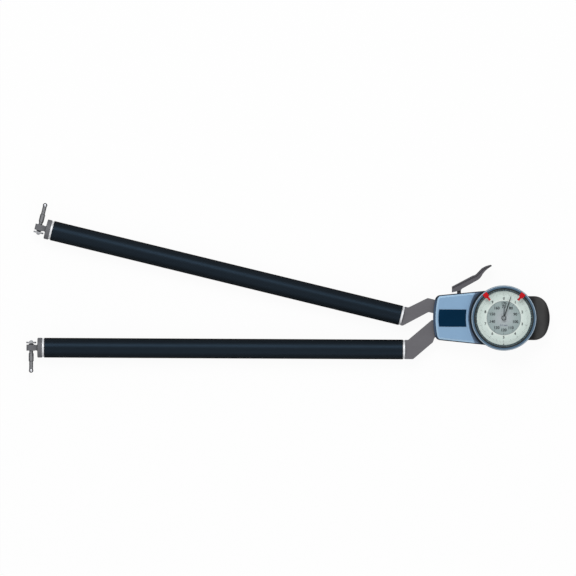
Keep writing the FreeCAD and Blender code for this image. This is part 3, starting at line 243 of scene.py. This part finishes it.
class Finish(Nodes):
    """A material under construction: colour and relief are layered, and close() wires them up."""

    def __init__(self, name):
        self.material = bpy.data.materials.new(name)
        self.material.use_nodes = True
        super().__init__(self.material.node_tree)
        self.shader = self.tree.nodes["Principled BSDF"]

    def group(self, tree, inputs):
        node = self.tree.nodes.new("ShaderNodeGroup")
        node.node_tree = tree
        for name, given in inputs.items():
            self.put(node.inputs[name], given)
        return node.outputs

    def place(self):
        return self.add("ShaderNodeTexCoord").outputs["Object"]

    def distance(self, start, stop, axis=(0, 0, 0)):
        return self.group(ROUND, {"Axis": axis, "Start": start, "Stop": stop})["Share"]

    def slope(self, low, high, smooth=False):
        """A share that grows as the upward part of the face's normal goes from low to high."""
        turned = self.add("ShaderNodeNewGeometry").outputs["Normal" if smooth else "True Normal"]
        up = self.add("ShaderNodeSeparateXYZ", {0: turned}).outputs["Z"]
        return self.spread(up, low, high, smooth=smooth)

    def axis(self, name):
        """One coordinate of the point, in metres."""
        return self.add("ShaderNodeSeparateXYZ", {0: self.place()}).outputs[name]

    def close(self, colour, smoothest, roughest, scale=900.0, stretch=(1, 1, 1), drift=0.08,
              relief=0.0, edge=0.0, wear_or_shade=(0.8, 0.8, 0.8, 1), radius=0.3, corner=0.0, reach=1.2,
              **fixed):
        """Adds grain, rubbed edges (lighter wear, or painted shade where the edge colour is dark) and
        painted shade in inner corners over the colour, and sets fixed values.
        """
        grain = self.group(GRAIN, {
            "Colour": colour, "Scale": scale, "Stretch": stretch, "Drift": drift,
            "Smoothest": smoothest, "Roughest": roughest})
        layer = grain["Colour"]
        normal = None
        if edge:
            edges = self.group(EDGES, {
                "Colour": layer, "Worn_or_shade": wear_or_shade, "Radius": radius * MM, "Amount": edge})
            layer = edges["Colour"]
            normal = edges["Normal"]
        # Painted shade in inner corners
        if corner:
            layer = self.group(CORNERS, {
                "Colour": layer, "Shade": srgb(14, 17, 22), "Reach": reach * MM,
                "Amount": corner})["Colour"]
        if relief:
            bump = self.add("ShaderNodeBump", {
                "Height": grain["Height"], "Strength": 1.0, "Distance": relief * MM})
            if normal is not None:
                self.put(bump.inputs["Normal"], normal)
            normal = bump.outputs["Normal"]
        self.put(self.shader.inputs["Base Color"], layer)
        self.put(self.shader.inputs["Roughness"], grain["Roughness"])
        if normal is not None:
            self.put(self.shader.inputs["Normal"], normal)
        for name, setting in fixed.items():
            self.shader.inputs[name.replace("_", " ")].default_value = setting
        return self.material


# Finishes


def shell_paint():
    """Nearly black lacquer of the rear shell, with painted light making its rounded end a lighter slate,
    and painted shade making the groove beside the bezel black.
    """
    finish = Finish("slate_lacquer")
    # Painted light: the rounded end is a lighter slate
    end = finish.spread(finish.axis("X"), -66.2 * MM, -67.4 * MM, smooth=True)
    side = finish.maths("ABSOLUTE", finish.axis("Y"))
    end = finish.maths("MULTIPLY", end, finish.spread(side, 19.5 * MM, 16.5 * MM, smooth=True))
    # Painted shade: black in the groove beside the bezel, on faces turned upwards
    near = finish.distance(34.6, 33.6)
    deep = finish.distance(31.6, 31.5)
    groove_shade = finish.maths("MULTIPLY", near, finish.maths("SUBTRACT", 1.0, deep))
    groove_shade = finish.maths("MULTIPLY", groove_shade, finish.slope(0.5, 0.9))
    colour = finish.blend(end, srgb(22, 35, 52), srgb(62, 80, 102))
    colour = finish.blend(groove_shade, colour, srgb(6, 9, 13))
    return finish.close(colour, 0.34, 0.5, drift=0.12, relief=0.006, edge=0.35,
                        wear_or_shade=srgb(84, 104, 128), corner=0.7, Specular_IOR_Level=0.12)


def cover_paint():
    """Pale blue lacquer with a painted highlight on the bevel, painted lighter on the slope beside the
    dial. A slate crescent of painted shade frames the dial, darker towards it and painted black at its
    foot.
    """
    finish = Finish("blue_lacquer")
    # Painted shade: a slate crescent by the dial, darker towards it and black at its foot
    crescent_shade = finish.distance(COVER_ARC + 0.3, COVER_ARC - 0.3, (COVER_ARC_X * MM, 0, 0))
    deep = finish.distance(36.0, 33.8)
    slate = finish.blend(deep, srgb(100, 118, 141), srgb(66, 81, 102))
    slate = finish.blend(finish.distance(34.15, 33.95), slate, srgb(5, 8, 12))
    # Painted highlight: the bevel is lighter
    bevel_highlight = finish.maths("MULTIPLY", finish.slope(0.8, 0.75), finish.distance(38.0, 39.0))
    top = finish.blend(bevel_highlight, srgb(134, 168, 200), srgb(168, 201, 229))
    # Painted light: the slope inside 37.2 mm is lighter, making up for the light it turns from
    top = finish.blend(finish.distance(37.4, 37.2), top, srgb(166, 203, 238))
    colour = finish.blend(crescent_shade, top, slate)
    return finish.close(colour, 0.34, 0.46, scale=1400.0, drift=0.03, relief=0.003, edge=0.4,
                        wear_or_shade=srgb(172, 202, 230), radius=0.3, corner=0.5, Specular_IOR_Level=0.25)


def plate_enamel():
    finish = Finish("dark_blue_enamel")
    return finish.close(srgb(0, 38, 64), 0.3, 0.45, scale=1600.0, drift=0.08, relief=0.002,
                        edge=0.4, wear_or_shade=srgb(60, 96, 124), radius=0.15, Specular_IOR_Level=0.04)


def grip_rubber():
    """Black moulded grip: a matt skin, with a paler band across its middle that is a painted highlight."""
    finish = Finish("black_moulded_grip")
    place = finish.add("ShaderNodeSeparateXYZ", {0: finish.place()}).outputs
    # Painted highlight: a paler band across the middle of the rounded grip
    far = finish.spread(place["X"], 39 * MM, 45 * MM, smooth=True)
    near = finish.spread(place["X"], 29 * MM, 34 * MM, smooth=True)
    highlight_band = finish.maths("MULTIPLY", near, finish.maths("SUBTRACT", 1.0, far))
    colour = finish.blend(highlight_band, srgb(40, 40, 41), srgb(66, 66, 66))
    return finish.close(colour, 0.55, 0.75, scale=2600.0, drift=0.16, relief=0.03, edge=0.2,
                        wear_or_shade=srgb(80, 80, 80), radius=0.4, corner=0.9, reach=2.0,
                        Specular_IOR_Level=0.12)


def arm_anodising():
    finish = Finish("grey_anodised")
    return finish.close(srgb(101, 100, 104), 0.42, 0.56, scale=1500.0, stretch=(0.2, 1, 1),
                        drift=0.07, relief=0.004, edge=0.35, wear_or_shade=srgb(140, 140, 146), radius=0.35,
                        corner=0.95, Metallic=0.1, Specular_IOR_Level=0.2)


def lever_anodising():
    """Dark grey lever with a black line of painted shade just inside its upper edge."""
    finish = Finish("dark_grey_anodised")
    # Painted shade: a black line where the rounded upper edge turns from the light
    soft = finish.add("ShaderNodeBevel", {"Radius": 1.5 * MM}, samples=8).outputs["Normal"]
    lean = finish.add("ShaderNodeSeparateXYZ", {0: soft}).outputs["Y"]
    line = finish.maths("MULTIPLY", finish.spread(lean, 0.03, 0.09), finish.spread(lean, 0.34, 0.22))
    colour = finish.blend(finish.maths("MULTIPLY", line, finish.slope(0.8, 0.95)),
                          srgb(92, 90, 95), srgb(30, 30, 34))
    return finish.close(colour, 0.42, 0.56, scale=1500.0, stretch=(0.2, 1, 1),
                        drift=0.07, relief=0.004, edge=0.2, wear_or_shade=srgb(120, 120, 126), radius=0.25,
                        corner=1.0, Metallic=0.1, Specular_IOR_Level=0.15)


def tube_laminate():
    """Dark fibre laminate: a fine twill under a satin coat, with painted shade darkening it nearly to black
    at the sides and round the ends.
    """
    finish = Finish("fibre_laminate")
    waves = []
    for turn in (math.radians(45), math.radians(-45)):
        turned = finish.add("ShaderNodeMapping", {"Vector": finish.place(), "Rotation": (0, 0, turn)})
        wave = finish.add("ShaderNodeTexWave", {"Vector": turned.outputs[0], "Scale": 160.0,
                                                "Distortion": 0.6, "Detail": 1.0})
        waves.append(wave.outputs["Fac"])
    weave = finish.maths("MULTIPLY", waves[0], waves[1])
    colour = finish.blend(weave, srgb(22, 27, 32), srgb(31, 38, 45))
    # Painted shade: faces turned sideways are darkened nearly to black
    dark = finish.maths("MULTIPLY", finish.slope(0.52, 0.38, True), finish.slope(-0.5, 0.2, True))
    colour = finish.blend(dark, colour, srgb(7, 8, 10))
    # The edge colour here is painted shade, a near-black line round the tube's ends
    return finish.close(colour, 0.3, 0.4, scale=700.0, stretch=(0.15, 1, 1), drift=0.1,
                        relief=0.001, edge=1.0, wear_or_shade=srgb(4, 5, 7), radius=0.9,
                        Specular_IOR_Level=0.14, Specular_Tint=srgb(150, 200, 245))


def polished_ring():
    finish = Finish("polished_ring")
    return finish.close(srgb(232, 234, 237), 0.3, 0.42, scale=1200.0, stretch=(8, 0.3, 0.3),
                        drift=0.05, relief=0.002, edge=0.4, wear_or_shade=srgb(250, 250, 252), radius=0.2,
                        corner=0.4, Metallic=0.1, Specular_IOR_Level=0.3)


def tip_steel():
    finish = Finish("matt_steel")
    return finish.close(srgb(108, 109, 113), 0.5, 0.64, scale=1600.0, stretch=(1, 0.2, 1),
                        drift=0.09, relief=0.004, edge=0.3, wear_or_shade=srgb(128, 130, 134), radius=0.2,
                        corner=0.9, Metallic=0.1, Specular_IOR_Level=0.12)


def pin_steel():
    finish = Finish("ground_pin")
    return finish.close(srgb(126, 127, 130), 0.24, 0.34, scale=1600.0, stretch=(1, 0.2, 1), drift=0.08,
                        relief=0.003, edge=0.4, wear_or_shade=srgb(160, 162, 166), radius=0.1, corner=0.9,
                        Metallic=0.75)


def nut_steel():
    """Pale turned nut, with painted shade in its corners."""
    finish = Finish("pale_steel")
    return finish.close(srgb(178, 180, 184), 0.36, 0.5, scale=1600.0, stretch=(1, 0.2, 1),
                        drift=0.09, relief=0.004, edge=0.2, wear_or_shade=srgb(210, 212, 215), radius=0.15,
                        corner=1.0, reach=1.2, Metallic=0.1, Specular_IOR_Level=0.2)


def ground_steel(name="ground_steel", colour=srgb(150, 152, 156), metallic=0.8):
    finish = Finish(name)
    return finish.close(colour, 0.2, 0.36, scale=1800.0, stretch=(1, 1, 0.15), drift=0.1,
                        relief=0.003, edge=0.5, wear_or_shade=srgb(205, 207, 212), radius=0.15,
                        Metallic=metallic)


def ball_steel():
    finish = Finish("polished_ball")
    return finish.close(srgb(186, 188, 193), 0.08, 0.16, scale=1500.0, drift=0.06, Metallic=1.0)


def gear_brass():
    finish = Finish("clock_brass")
    return finish.close(srgb(181, 150, 82), 0.24, 0.4, scale=1300.0, stretch=(1, 0.15, 1),
                        drift=0.1, relief=0.003, edge=0.5, wear_or_shade=srgb(226, 202, 140), radius=0.1,
                        Metallic=0.9)


def bezel_anodising():
    """Slate blue rim with a painted highlight line on its edge, and a streaked dark wall inside the window
    with a black ring of painted shade under the rim.
    """
    finish = Finish("blue_anodised")
    angle = finish.maths("ARCTAN2", finish.axis("Y"), finish.axis("X"))
    drift = finish.add("ShaderNodeTexNoise", {"W": angle, "Scale": 5.0, "Detail": 2.0},
                       noise_dimensions="1D").outputs["Fac"]
    ribs = finish.maths("SINE", finish.maths("MULTIPLY", angle, STREAKS))
    streaks = finish.maths("MULTIPLY", finish.spread(ribs, -0.2, 0.8), finish.spread(drift, 0.35, 0.65))
    wall = finish.blend(streaks, srgb(24, 42, 50), srgb(98, 130, 138))
    # Painted shade: a black ring on the wall just under the rim
    foot = finish.blend(finish.distance(28.0, 28.9), wall, srgb(10, 16, 20))
    # Painted highlight: a bright line round the rim's edge
    inner = finish.maths("SUBTRACT", 1.0, finish.distance(32.15, 32.3))
    line = finish.maths("MULTIPLY", finish.distance(31.6, 31.75), inner)
    rim = finish.blend(line, srgb(78, 103, 124), srgb(190, 206, 220))
    colour = finish.blend(finish.distance(29.8, 29.95), foot, rim)
    return finish.close(colour, 0.34, 0.48, scale=1400.0, drift=0.06, relief=0.003, edge=0.15,
                        wear_or_shade=srgb(150, 172, 194), radius=0.2, corner=0.5, Metallic=0.1,
                        Specular_IOR_Level=0.12)


def dial_print(name, colour, middle, inner, outer):
    """A printed disc whose colour eases from the middle outwards."""
    finish = Finish(name)
    share = finish.distance(inner, outer)
    return finish.close(finish.blend(share, middle, colour), 0.5, 0.62, scale=2200.0, drift=0.03,
                        relief=0.002, Specular_IOR_Level=0.3)


def ink(name, colour):
    finish = Finish(name)
    return finish.close(colour, 0.45, 0.6, scale=2400.0, drift=0.12, relief=0.002,
                        Specular_IOR_Level=0.1)


def hand_lacquer(name, colour):
    finish = Finish(name)
    return finish.close(colour, 0.36, 0.5, scale=2000.0, drift=0.1, relief=0.002, edge=0.2,
                        wear_or_shade=srgb(90, 94, 98), radius=0.06, Specular_IOR_Level=0.08)


def cap_metal():
    """Turned cap over the pointers: a dark rim, a light land and a dark dot in the middle."""
    finish = Finish("turned_cap")
    colour = finish.blend(finish.distance(1.45, 1.6), srgb(150, 157, 160), srgb(44, 49, 53))
    colour = finish.blend(finish.distance(0.7, 0.55), colour, srgb(52, 58, 62))
    return finish.close(colour, 0.36, 0.5, scale=2600.0, drift=0.08, relief=0.002,
                        Specular_IOR_Level=0.12)


def marker_plastic():
    finish = Finish("red_plastic")
    return finish.close(srgb(190, 18, 28), 0.3, 0.44, scale=1500.0, drift=0.1, relief=0.004,
                        edge=0.35, wear_or_shade=srgb(206, 40, 46), radius=0.2, corner=0.9, reach=2.0,
                        Specular_IOR_Level=0.12)


def clear_glass():
    """Clear crystal: mostly see-through, with the coat's gloss."""
    material = bpy.data.materials.new("clear_crystal")
    material.use_nodes = True
    nodes = Nodes(material.node_tree)
    shader = material.node_tree.nodes["Principled BSDF"]
    smear = nodes.add("ShaderNodeTexNoise", {
        "Vector": nodes.add("ShaderNodeTexCoord").outputs["Object"], "Scale": 90.0, "Detail": 2.0})
    nodes.put(shader.inputs["Roughness"], nodes.spread(smear.outputs["Fac"], 0.3, 0.7, 0.01, 0.05))
    nodes.put(shader.inputs["Alpha"], nodes.spread(smear.outputs["Fac"], 0.3, 0.7, 0.015, 0.03))
    shader.inputs["Base Color"].default_value = srgb(225, 236, 238)
    shader.inputs["Specular IOR Level"].default_value = 0.12
    return material


NAVY = shell_paint()
BLUE = cover_paint()
ENAMEL = plate_enamel()
GRIP = grip_rubber()
ARM = arm_anodising()
LEVER = lever_anodising()
LAMINATE = tube_laminate()
BRIGHT = polished_ring()
TIP = tip_steel()
PIN = pin_steel()
NUT = nut_steel()
STEEL = ground_steel()
BLACKED = ground_steel("blackened_steel", srgb(52, 54, 58), 0.5)
BALL = ball_steel()
BRASS = gear_brass()
BEZEL = bezel_anodising()
RING_PRINT = dial_print("pale_dial", srgb(213, 227, 221), srgb(224, 234, 229), 17.0, 20.0)
DISC_PRINT = dial_print("grey_dial", srgb(150, 166, 166), srgb(176, 184, 188), 3.0, 13.0)
BLACK_HAND = hand_lacquer("black_hand", srgb(10, 11, 13))
SEAL = hand_lacquer("black_seal", srgb(8, 12, 16))
GREY_HAND = hand_lacquer("grey_hand", srgb(82, 90, 94))
CAP = cap_metal()
RED = marker_plastic()
GLASS = clear_glass()
DARK_INK = ink("dark_ink", srgb(34, 41, 43))
FINE_INK = ink("fine_ink", srgb(134, 144, 141))
BLACK_INK = ink("black_ink", srgb(12, 14, 16))
UNIT_INK = ink("unit_ink", srgb(84, 88, 112))

FINISHES = {
    "rear_shell": NAVY, "front_cover": BLUE, "name_plate": ENAMEL, "end_grip": GRIP,
    "fixed_arm": ARM, "moving_arm": ARM, "release_lever": LEVER,
    "bezel": BEZEL, "scale_ring": RING_PRINT, "inner_dial": DISC_PRINT, "dial_base": ARM,
    "dial_glass": GLASS, "glass_seal": SEAL, "short_pointer": GREY_HAND, "long_pointer": BLACK_HAND,
    "pointer_cap": CAP, "marker_left": RED, "marker_right": RED,
}
for side in ("moving", "fixed"):
    FINISHES.update({
        side + "_tube": LAMINATE, side + "_collar_inner": BRIGHT, side + "_collar_outer": BRIGHT,
        side + "_tip_holder": TIP, side + "_contact_pin": PIN, side + "_contact_ball": BALL,
        side + "_washer": BLACKED, side + "_lock_nut": NUT,
    })
for name in ("transfer_wheel", "transfer_small_wheel", "hour_wheel", "lower_bridge",
             "upper_bridge", "sector_gear"):
    FINISHES[name] = BRASS
for name, node in NODES.items():
    material = FINISHES.get(name, STEEL)
    if not node.material_slots:
        node.data.materials.append(material)
    for slot in node.material_slots:
        slot.material = material

# New pieces


def add_piece(name, mesh, body, material=None):
    """A finished mesh becomes a piece that rides on a body and takes a material slot."""
    mesh.name = name
    if material is not None:
        mesh.materials.clear()
        mesh.materials.append(material)
    piece = bpy.data.objects.new(name, mesh)
    bpy.context.scene.collection.objects.link(piece)
    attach(piece, body)
    return piece


def socket_id(tree, name):
    return next(item.identifier for item in tree.interface.items_tree
                if item.name == name and item.in_out == "INPUT")


def tick_tree():
    """Bars set round the dial axis: their count, both radii, width, level, rise and material."""
    tree = bpy.data.node_groups.new("tick_ring", "GeometryNodeTree")
    tree.interface.new_socket("Geometry", in_out="OUTPUT", socket_type="NodeSocketGeometry")
    for name, kind in (("Count", "Int"), ("Inner", "Float"), ("Outer", "Float"), ("Width", "Float"),
                       ("Level", "Float"), ("Rise", "Float"), ("Finish", "Material")):
        tree.interface.new_socket(name, in_out="INPUT", socket_type="NodeSocket" + kind)
    nodes = Nodes(tree)
    given = nodes.add("NodeGroupInput").outputs
    step = nodes.maths("DIVIDE", math.tau, given["Count"])
    index = nodes.add("GeometryNodeInputIndex").outputs[0]
    angle = nodes.maths("MULTIPLY", index, step)
    middle = nodes.maths("MULTIPLY", nodes.maths("ADD", given["Inner"], given["Outer"]), 0.5)
    spot = nodes.add("ShaderNodeCombineXYZ", {
        "X": nodes.maths("MULTIPLY", nodes.maths("SINE", angle), middle),
        "Y": nodes.maths("MULTIPLY", nodes.maths("COSINE", angle), middle),
        "Z": given["Level"]}).outputs[0]
    points = nodes.add("GeometryNodePoints", {"Count": given["Count"], "Position": spot}).outputs[0]
    size = nodes.add("ShaderNodeCombineXYZ", {
        "X": given["Width"], "Y": nodes.maths("SUBTRACT", given["Outer"], given["Inner"]),
        "Z": given["Rise"]}).outputs[0]
    bar = nodes.add("GeometryNodeMeshCube", {"Size": size}).outputs["Mesh"]
    turned = nodes.add("ShaderNodeCombineXYZ", {"Z": nodes.maths("MULTIPLY", angle, -1.0)}).outputs[0]
    ring = nodes.add("GeometryNodeInstanceOnPoints", {
        "Points": points, "Instance": bar, "Rotation": turned}).outputs[0]
    real = nodes.add("GeometryNodeRealizeInstances", {"Geometry": ring}).outputs[0]
    painted = nodes.add("GeometryNodeSetMaterial", {"Geometry": real, "Material": given["Finish"]})
    end = nodes.add("NodeGroupOutput")
    nodes.put(end.inputs[0], painted.outputs[0])
    return tree


TICKS = tick_tree()


def grown(tree, **inputs):
    """The plain mesh that a geometry tree makes from these inputs."""
    holder = bpy.data.objects.new("holder", bpy.data.meshes.new("holder"))
    bpy.context.scene.collection.objects.link(holder)
    modifier = holder.modifiers.new("grow", "NODES")
    modifier.node_group = tree
    for name, setting in inputs.items():
        modifier[socket_id(tree, name)] = setting
    bpy.context.view_layer.update()
    shown = holder.evaluated_get(bpy.context.evaluated_depsgraph_get())
    mesh = bpy.data.meshes.new_from_object(shown)
    bpy.data.objects.remove(holder)
    return mesh


def joined(meshes):
    """One mesh from several, each keeping its materials."""
    objects = []
    for mesh in meshes:
        piece = bpy.data.objects.new("part", mesh)
        bpy.context.scene.collection.objects.link(piece)
        objects.append(piece)
    with bpy.context.temp_override(active_object=objects[0], selected_editable_objects=objects):
        bpy.ops.object.join()
    mesh = objects[0].data
    bpy.data.objects.remove(objects[0])
    return mesh


def tick_ring(count, inner, outer, width, level, material):
    return grown(TICKS, Count=count, Inner=inner * MM, Outer=outer * MM, Width=width * MM,
                 Level=level * MM, Rise=2 * PRINT_RISE * MM, Finish=material)


def printed(text, height, x, y, level, material, bold=0.0):
    """Figures as a thin raised print, centred on a point of the dial."""
    curve = bpy.data.curves.new("figures", "FONT")
    curve.body = text
    curve.size = height * MM / 0.7
    curve.align_x = "CENTER"
    curve.align_y = "CENTER"
    curve.extrude = PRINT_RISE * MM
    curve.offset = bold * MM
    curve.resolution_u = 3
    holder = bpy.data.objects.new("figures", curve)
    bpy.context.scene.collection.objects.link(holder)
    bpy.context.view_layer.update()
    mesh = bpy.data.meshes.new_from_object(holder.evaluated_get(bpy.context.evaluated_depsgraph_get()))
    bpy.data.objects.remove(holder)
    mesh.transform(Matrix.Translation((x * MM, y * MM, level * MM)))
    mesh.materials.clear()
    mesh.materials.append(material)
    return mesh


def centre(name):
    """The mean of a node's corners: its middle, for a piece turned about an axis."""
    node = NODES[name]
    points = [node.matrix_world @ corner.co for corner in node.data.vertices]
    return sum(points, Vector()) / len(points)


def knurl(side):
    """Fine ribs round the rim of a lock nut, set about the axis of its contact pin."""
    ball = centre(side + "_contact_ball")
    axis = (centre(side + "_lock_nut") - ball).normalized()
    low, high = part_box(side + "_lock_nut")
    radius = (high.z - low.z) / 2
    mesh = grown(TICKS, Count=NUT_RIBS, Inner=radius - RIB_ROOT * MM, Outer=radius + RIB_RISE * MM,
                 Width=RIB_WIDTH * MM, Level=0.0, Rise=NUT_RIM * 0.8 * MM, Finish=NUT)
    turn = axis.to_track_quat("Z", "Y").to_matrix().to_4x4()
    mesh.transform(Matrix.Translation(ball + axis * NUT_REACH * MM) @ turn)
    return mesh


def round_the_dial(radius, turns):
    """A point at a radius, turned clockwise from the top by a share of a full turn."""
    angle = math.tau * turns
    return radius * math.sin(angle), radius * math.cos(angle)


def triangle(inner, outer, width, level):
    """A thin raised triangle at the foot of the dial that points to the middle."""
    outline = ((0, -inner), (-width / 2, -outer), (width / 2, -outer))
    corners = [Vector((x, y, level + rise)) * MM for rise in (-PRINT_RISE, PRINT_RISE)
               for x, y in outline]
    faces = [(0, 2, 1), (3, 4, 5), (0, 1, 4, 3), (1, 2, 5, 4), (2, 0, 3, 5)]
    mesh = bpy.data.meshes.new("triangle")
    mesh.from_pydata(corners, [], faces)
    return mesh


def ring_scale():
    """Outer scale: a hundred divisions with the figures 0 to 9."""
    bars = [tick_ring(100, 23.2, 24.8, 0.16, RING_TOP, FINE_INK),
            tick_ring(20, 22.3, 24.8, 0.24, RING_TOP + 0.01, FINE_INK),
            tick_ring(10, 22.3, 24.8, 0.26, RING_TOP + 0.02, DARK_INK)]
    figures = []
    for number in range(10):
        x, y = round_the_dial(RING_NUMBER_RADIUS, number / 10)
        figures.append(printed(str(number), RING_NUMBER_HEIGHT, x, y, RING_TOP, DARK_INK,
                               RING_NUMBER_BOLD))
    index = triangle(INDEX_TIP, INDEX_FOOT, INDEX_WIDTH, RING_TOP)
    add_piece("ring_scale_index", index, "bezel", BLACK_INK)
    add_piece("ring_scale_lines", joined(bars), "bezel")
    add_piece("ring_scale_figures", joined(figures), "bezel")


def disc_scale():
    """Inner scale: tens of millimetres from 70 to 170, with the unit under the pointers."""
    bars = [tick_ring(50, 15.9, 16.7, 0.14, DISC_TOP, DARK_INK),
            tick_ring(10, 14.6, 16.7, 0.3, DISC_TOP + 0.01, DARK_INK)]
    figures = [printed("170", DISC_NUMBER_HEIGHT * 0.9, 0, 14.4, DISC_TOP, DARK_INK, DISC_NUMBER_BOLD),
               printed("70", DISC_NUMBER_HEIGHT, 0, 11.3, DISC_TOP, DARK_INK, DISC_NUMBER_BOLD)]
    for step in range(1, 10):
        x, y = round_the_dial(DISC_NUMBER_RADIUS, step / 10)
        figures.append(printed(str(70 + 10 * step), DISC_NUMBER_HEIGHT, x, y, DISC_TOP, DARK_INK,
                               DISC_NUMBER_BOLD))
    figures.append(printed("0.1 mm", 1.7, 0, -7.3, DISC_TOP, UNIT_INK, 0.06))
    figures.append(printed("- - - -", 1.6, 0, -4.3, DISC_TOP, FINE_INK, 0.04))
    add_piece("disc_scale_lines", joined(bars), "housing")
    add_piece("disc_scale_figures", joined(figures), "housing")


ring_scale()
disc_scale()
add_piece("fixed_nut_knurl", knurl("fixed"), "housing")
add_piece("moving_nut_knurl", knurl("moving"), "moving_arm")

# Stage


def floor_material():
    """Plain white floor that stays white to the camera and keeps a soft shadow."""
    material = bpy.data.materials.new("white_floor")
    material.use_nodes = True
    nodes = Nodes(material.node_tree)
    tree = material.node_tree
    tree.nodes.remove(tree.nodes["Principled BSDF"])
    matt = nodes.add("ShaderNodeBsdfDiffuse", {"Color": (0.9, 0.9, 0.9, 1)})
    light = nodes.add("ShaderNodeEmission", {"Color": (1, 1, 1, 1), "Strength": 1.0})
    black = nodes.add("ShaderNodeEmission", {"Color": (0, 0, 0, 1), "Strength": 0.0})
    path = nodes.add("ShaderNodeLightPath").outputs
    seen = nodes.maths("ADD", path["Is Camera Ray"], path["Is Transmission Ray"], clamp=True)
    share = nodes.maths("MULTIPLY", seen, 0.94)
    mixed = nodes.add("ShaderNodeMixShader", {0: share, 1: matt.outputs[0], 2: light.outputs[0]})
    mirrored = nodes.maths("MULTIPLY", path["Is Glossy Ray"], 0.85)
    mixed = nodes.add("ShaderNodeMixShader", {0: mirrored, 1: mixed.outputs[0], 2: black.outputs[0]})
    nodes.put(tree.nodes["Material Output"].inputs["Surface"], mixed.outputs[0])
    return material


def add_floor():
    low, high = cad_low, cad_high
    middle = (low + high) / 2
    reach = 6.0
    corners = [(middle.x + x * reach, middle.y + y * reach, -0.0001) for x, y in
               ((-1, -1), (1, -1), (1, 1), (-1, 1))]
    mesh = bpy.data.meshes.new("floor")
    mesh.from_pydata(corners, [], [(0, 1, 2, 3)])
    mesh.materials.append(floor_material())
    floor = bpy.data.objects.new("floor", mesh)
    bpy.context.scene.collection.objects.link(floor)


def add_world():
    """Even grey light from all round, white to the camera. Gloss sees white overhead only."""
    world = bpy.data.worlds.new("studio")
    bpy.context.scene.world = world
    world.use_nodes = True
    nodes = Nodes(world.node_tree)
    tree = world.node_tree
    back = tree.nodes["Background"]
    back.inputs["Color"].default_value = (1, 1, 1, 1)
    back.inputs["Strength"].default_value = 0.5
    white = nodes.add("ShaderNodeBackground", {"Color": (1, 1, 1, 1), "Strength": 1.0})
    path = nodes.add("ShaderNodeLightPath").outputs
    seen = nodes.maths("ADD", path["Is Camera Ray"], path["Is Transmission Ray"], clamp=True)
    mixed = nodes.add("ShaderNodeMixShader", {0: seen, 1: back.outputs[0], 2: white.outputs[0]})
    height = nodes.add("ShaderNodeSeparateXYZ", {
        0: nodes.add("ShaderNodeTexCoord").outputs["Generated"]}).outputs["Z"]
    overhead = nodes.spread(height, 0.05, 0.75, 0.03, 1.0, smooth=True)
    soft_box = nodes.add("ShaderNodeBackground", {"Color": (1, 1, 1, 1), "Strength": overhead})
    mixed = nodes.add("ShaderNodeMixShader", {
        0: path["Is Glossy Ray"], 1: mixed.outputs[0], 2: soft_box.outputs[0]})
    nodes.put(tree.nodes["World Output"].inputs["Surface"], mixed.outputs[0])


def add_lamp(name, place, target, size, power):
    """A square soft box aimed at a point."""
    data = bpy.data.lights.new(name, "AREA")
    data.size = size
    data.energy = power
    lamp = bpy.data.objects.new(name, data)
    bpy.context.scene.collection.objects.link(lamp)
    lamp.location = place
    lamp.rotation_euler = (Vector(target) - Vector(place)).to_track_quat("-Z", "Y").to_euler()
    lamp.visible_camera = False


def add_camera():
    """The photograph's view, squared to its own small turn."""
    right = PHOTO_SIZE / 2 - DIAL_PIXEL[0]
    down = PHOTO_SIZE / 2 - DIAL_PIXEL[1]
    target_x = (right + PHOTO_TURN * down) * MM
    target_y = (PHOTO_TURN * right - down) * MM
    data = bpy.data.cameras.new("camera")
    data.lens = LENS
    data.sensor_width = SENSOR
    data.clip_end = 100
    camera = bpy.data.objects.new("camera", data)
    bpy.context.scene.collection.objects.link(camera)
    distance = PHOTO_SIZE * MM * LENS / SENSOR
    camera.location = (target_x, target_y, FOCUS_LEVEL + distance)
    camera.rotation_euler = (0, 0, math.atan(PHOTO_TURN))
    bpy.context.scene.camera = camera


add_floor()
add_world()
add_lamp("key_lamp", (-0.35, 1.3, 2.0), (-0.2, 0.03, 0), 1.2, 26)
add_lamp("fill_lamp", (0.5, -1.6, 1.4), (-0.2, 0.03, 0), 1.6, 9)
add_camera()

scene = bpy.context.scene
scene.view_settings.view_transform = "Standard"
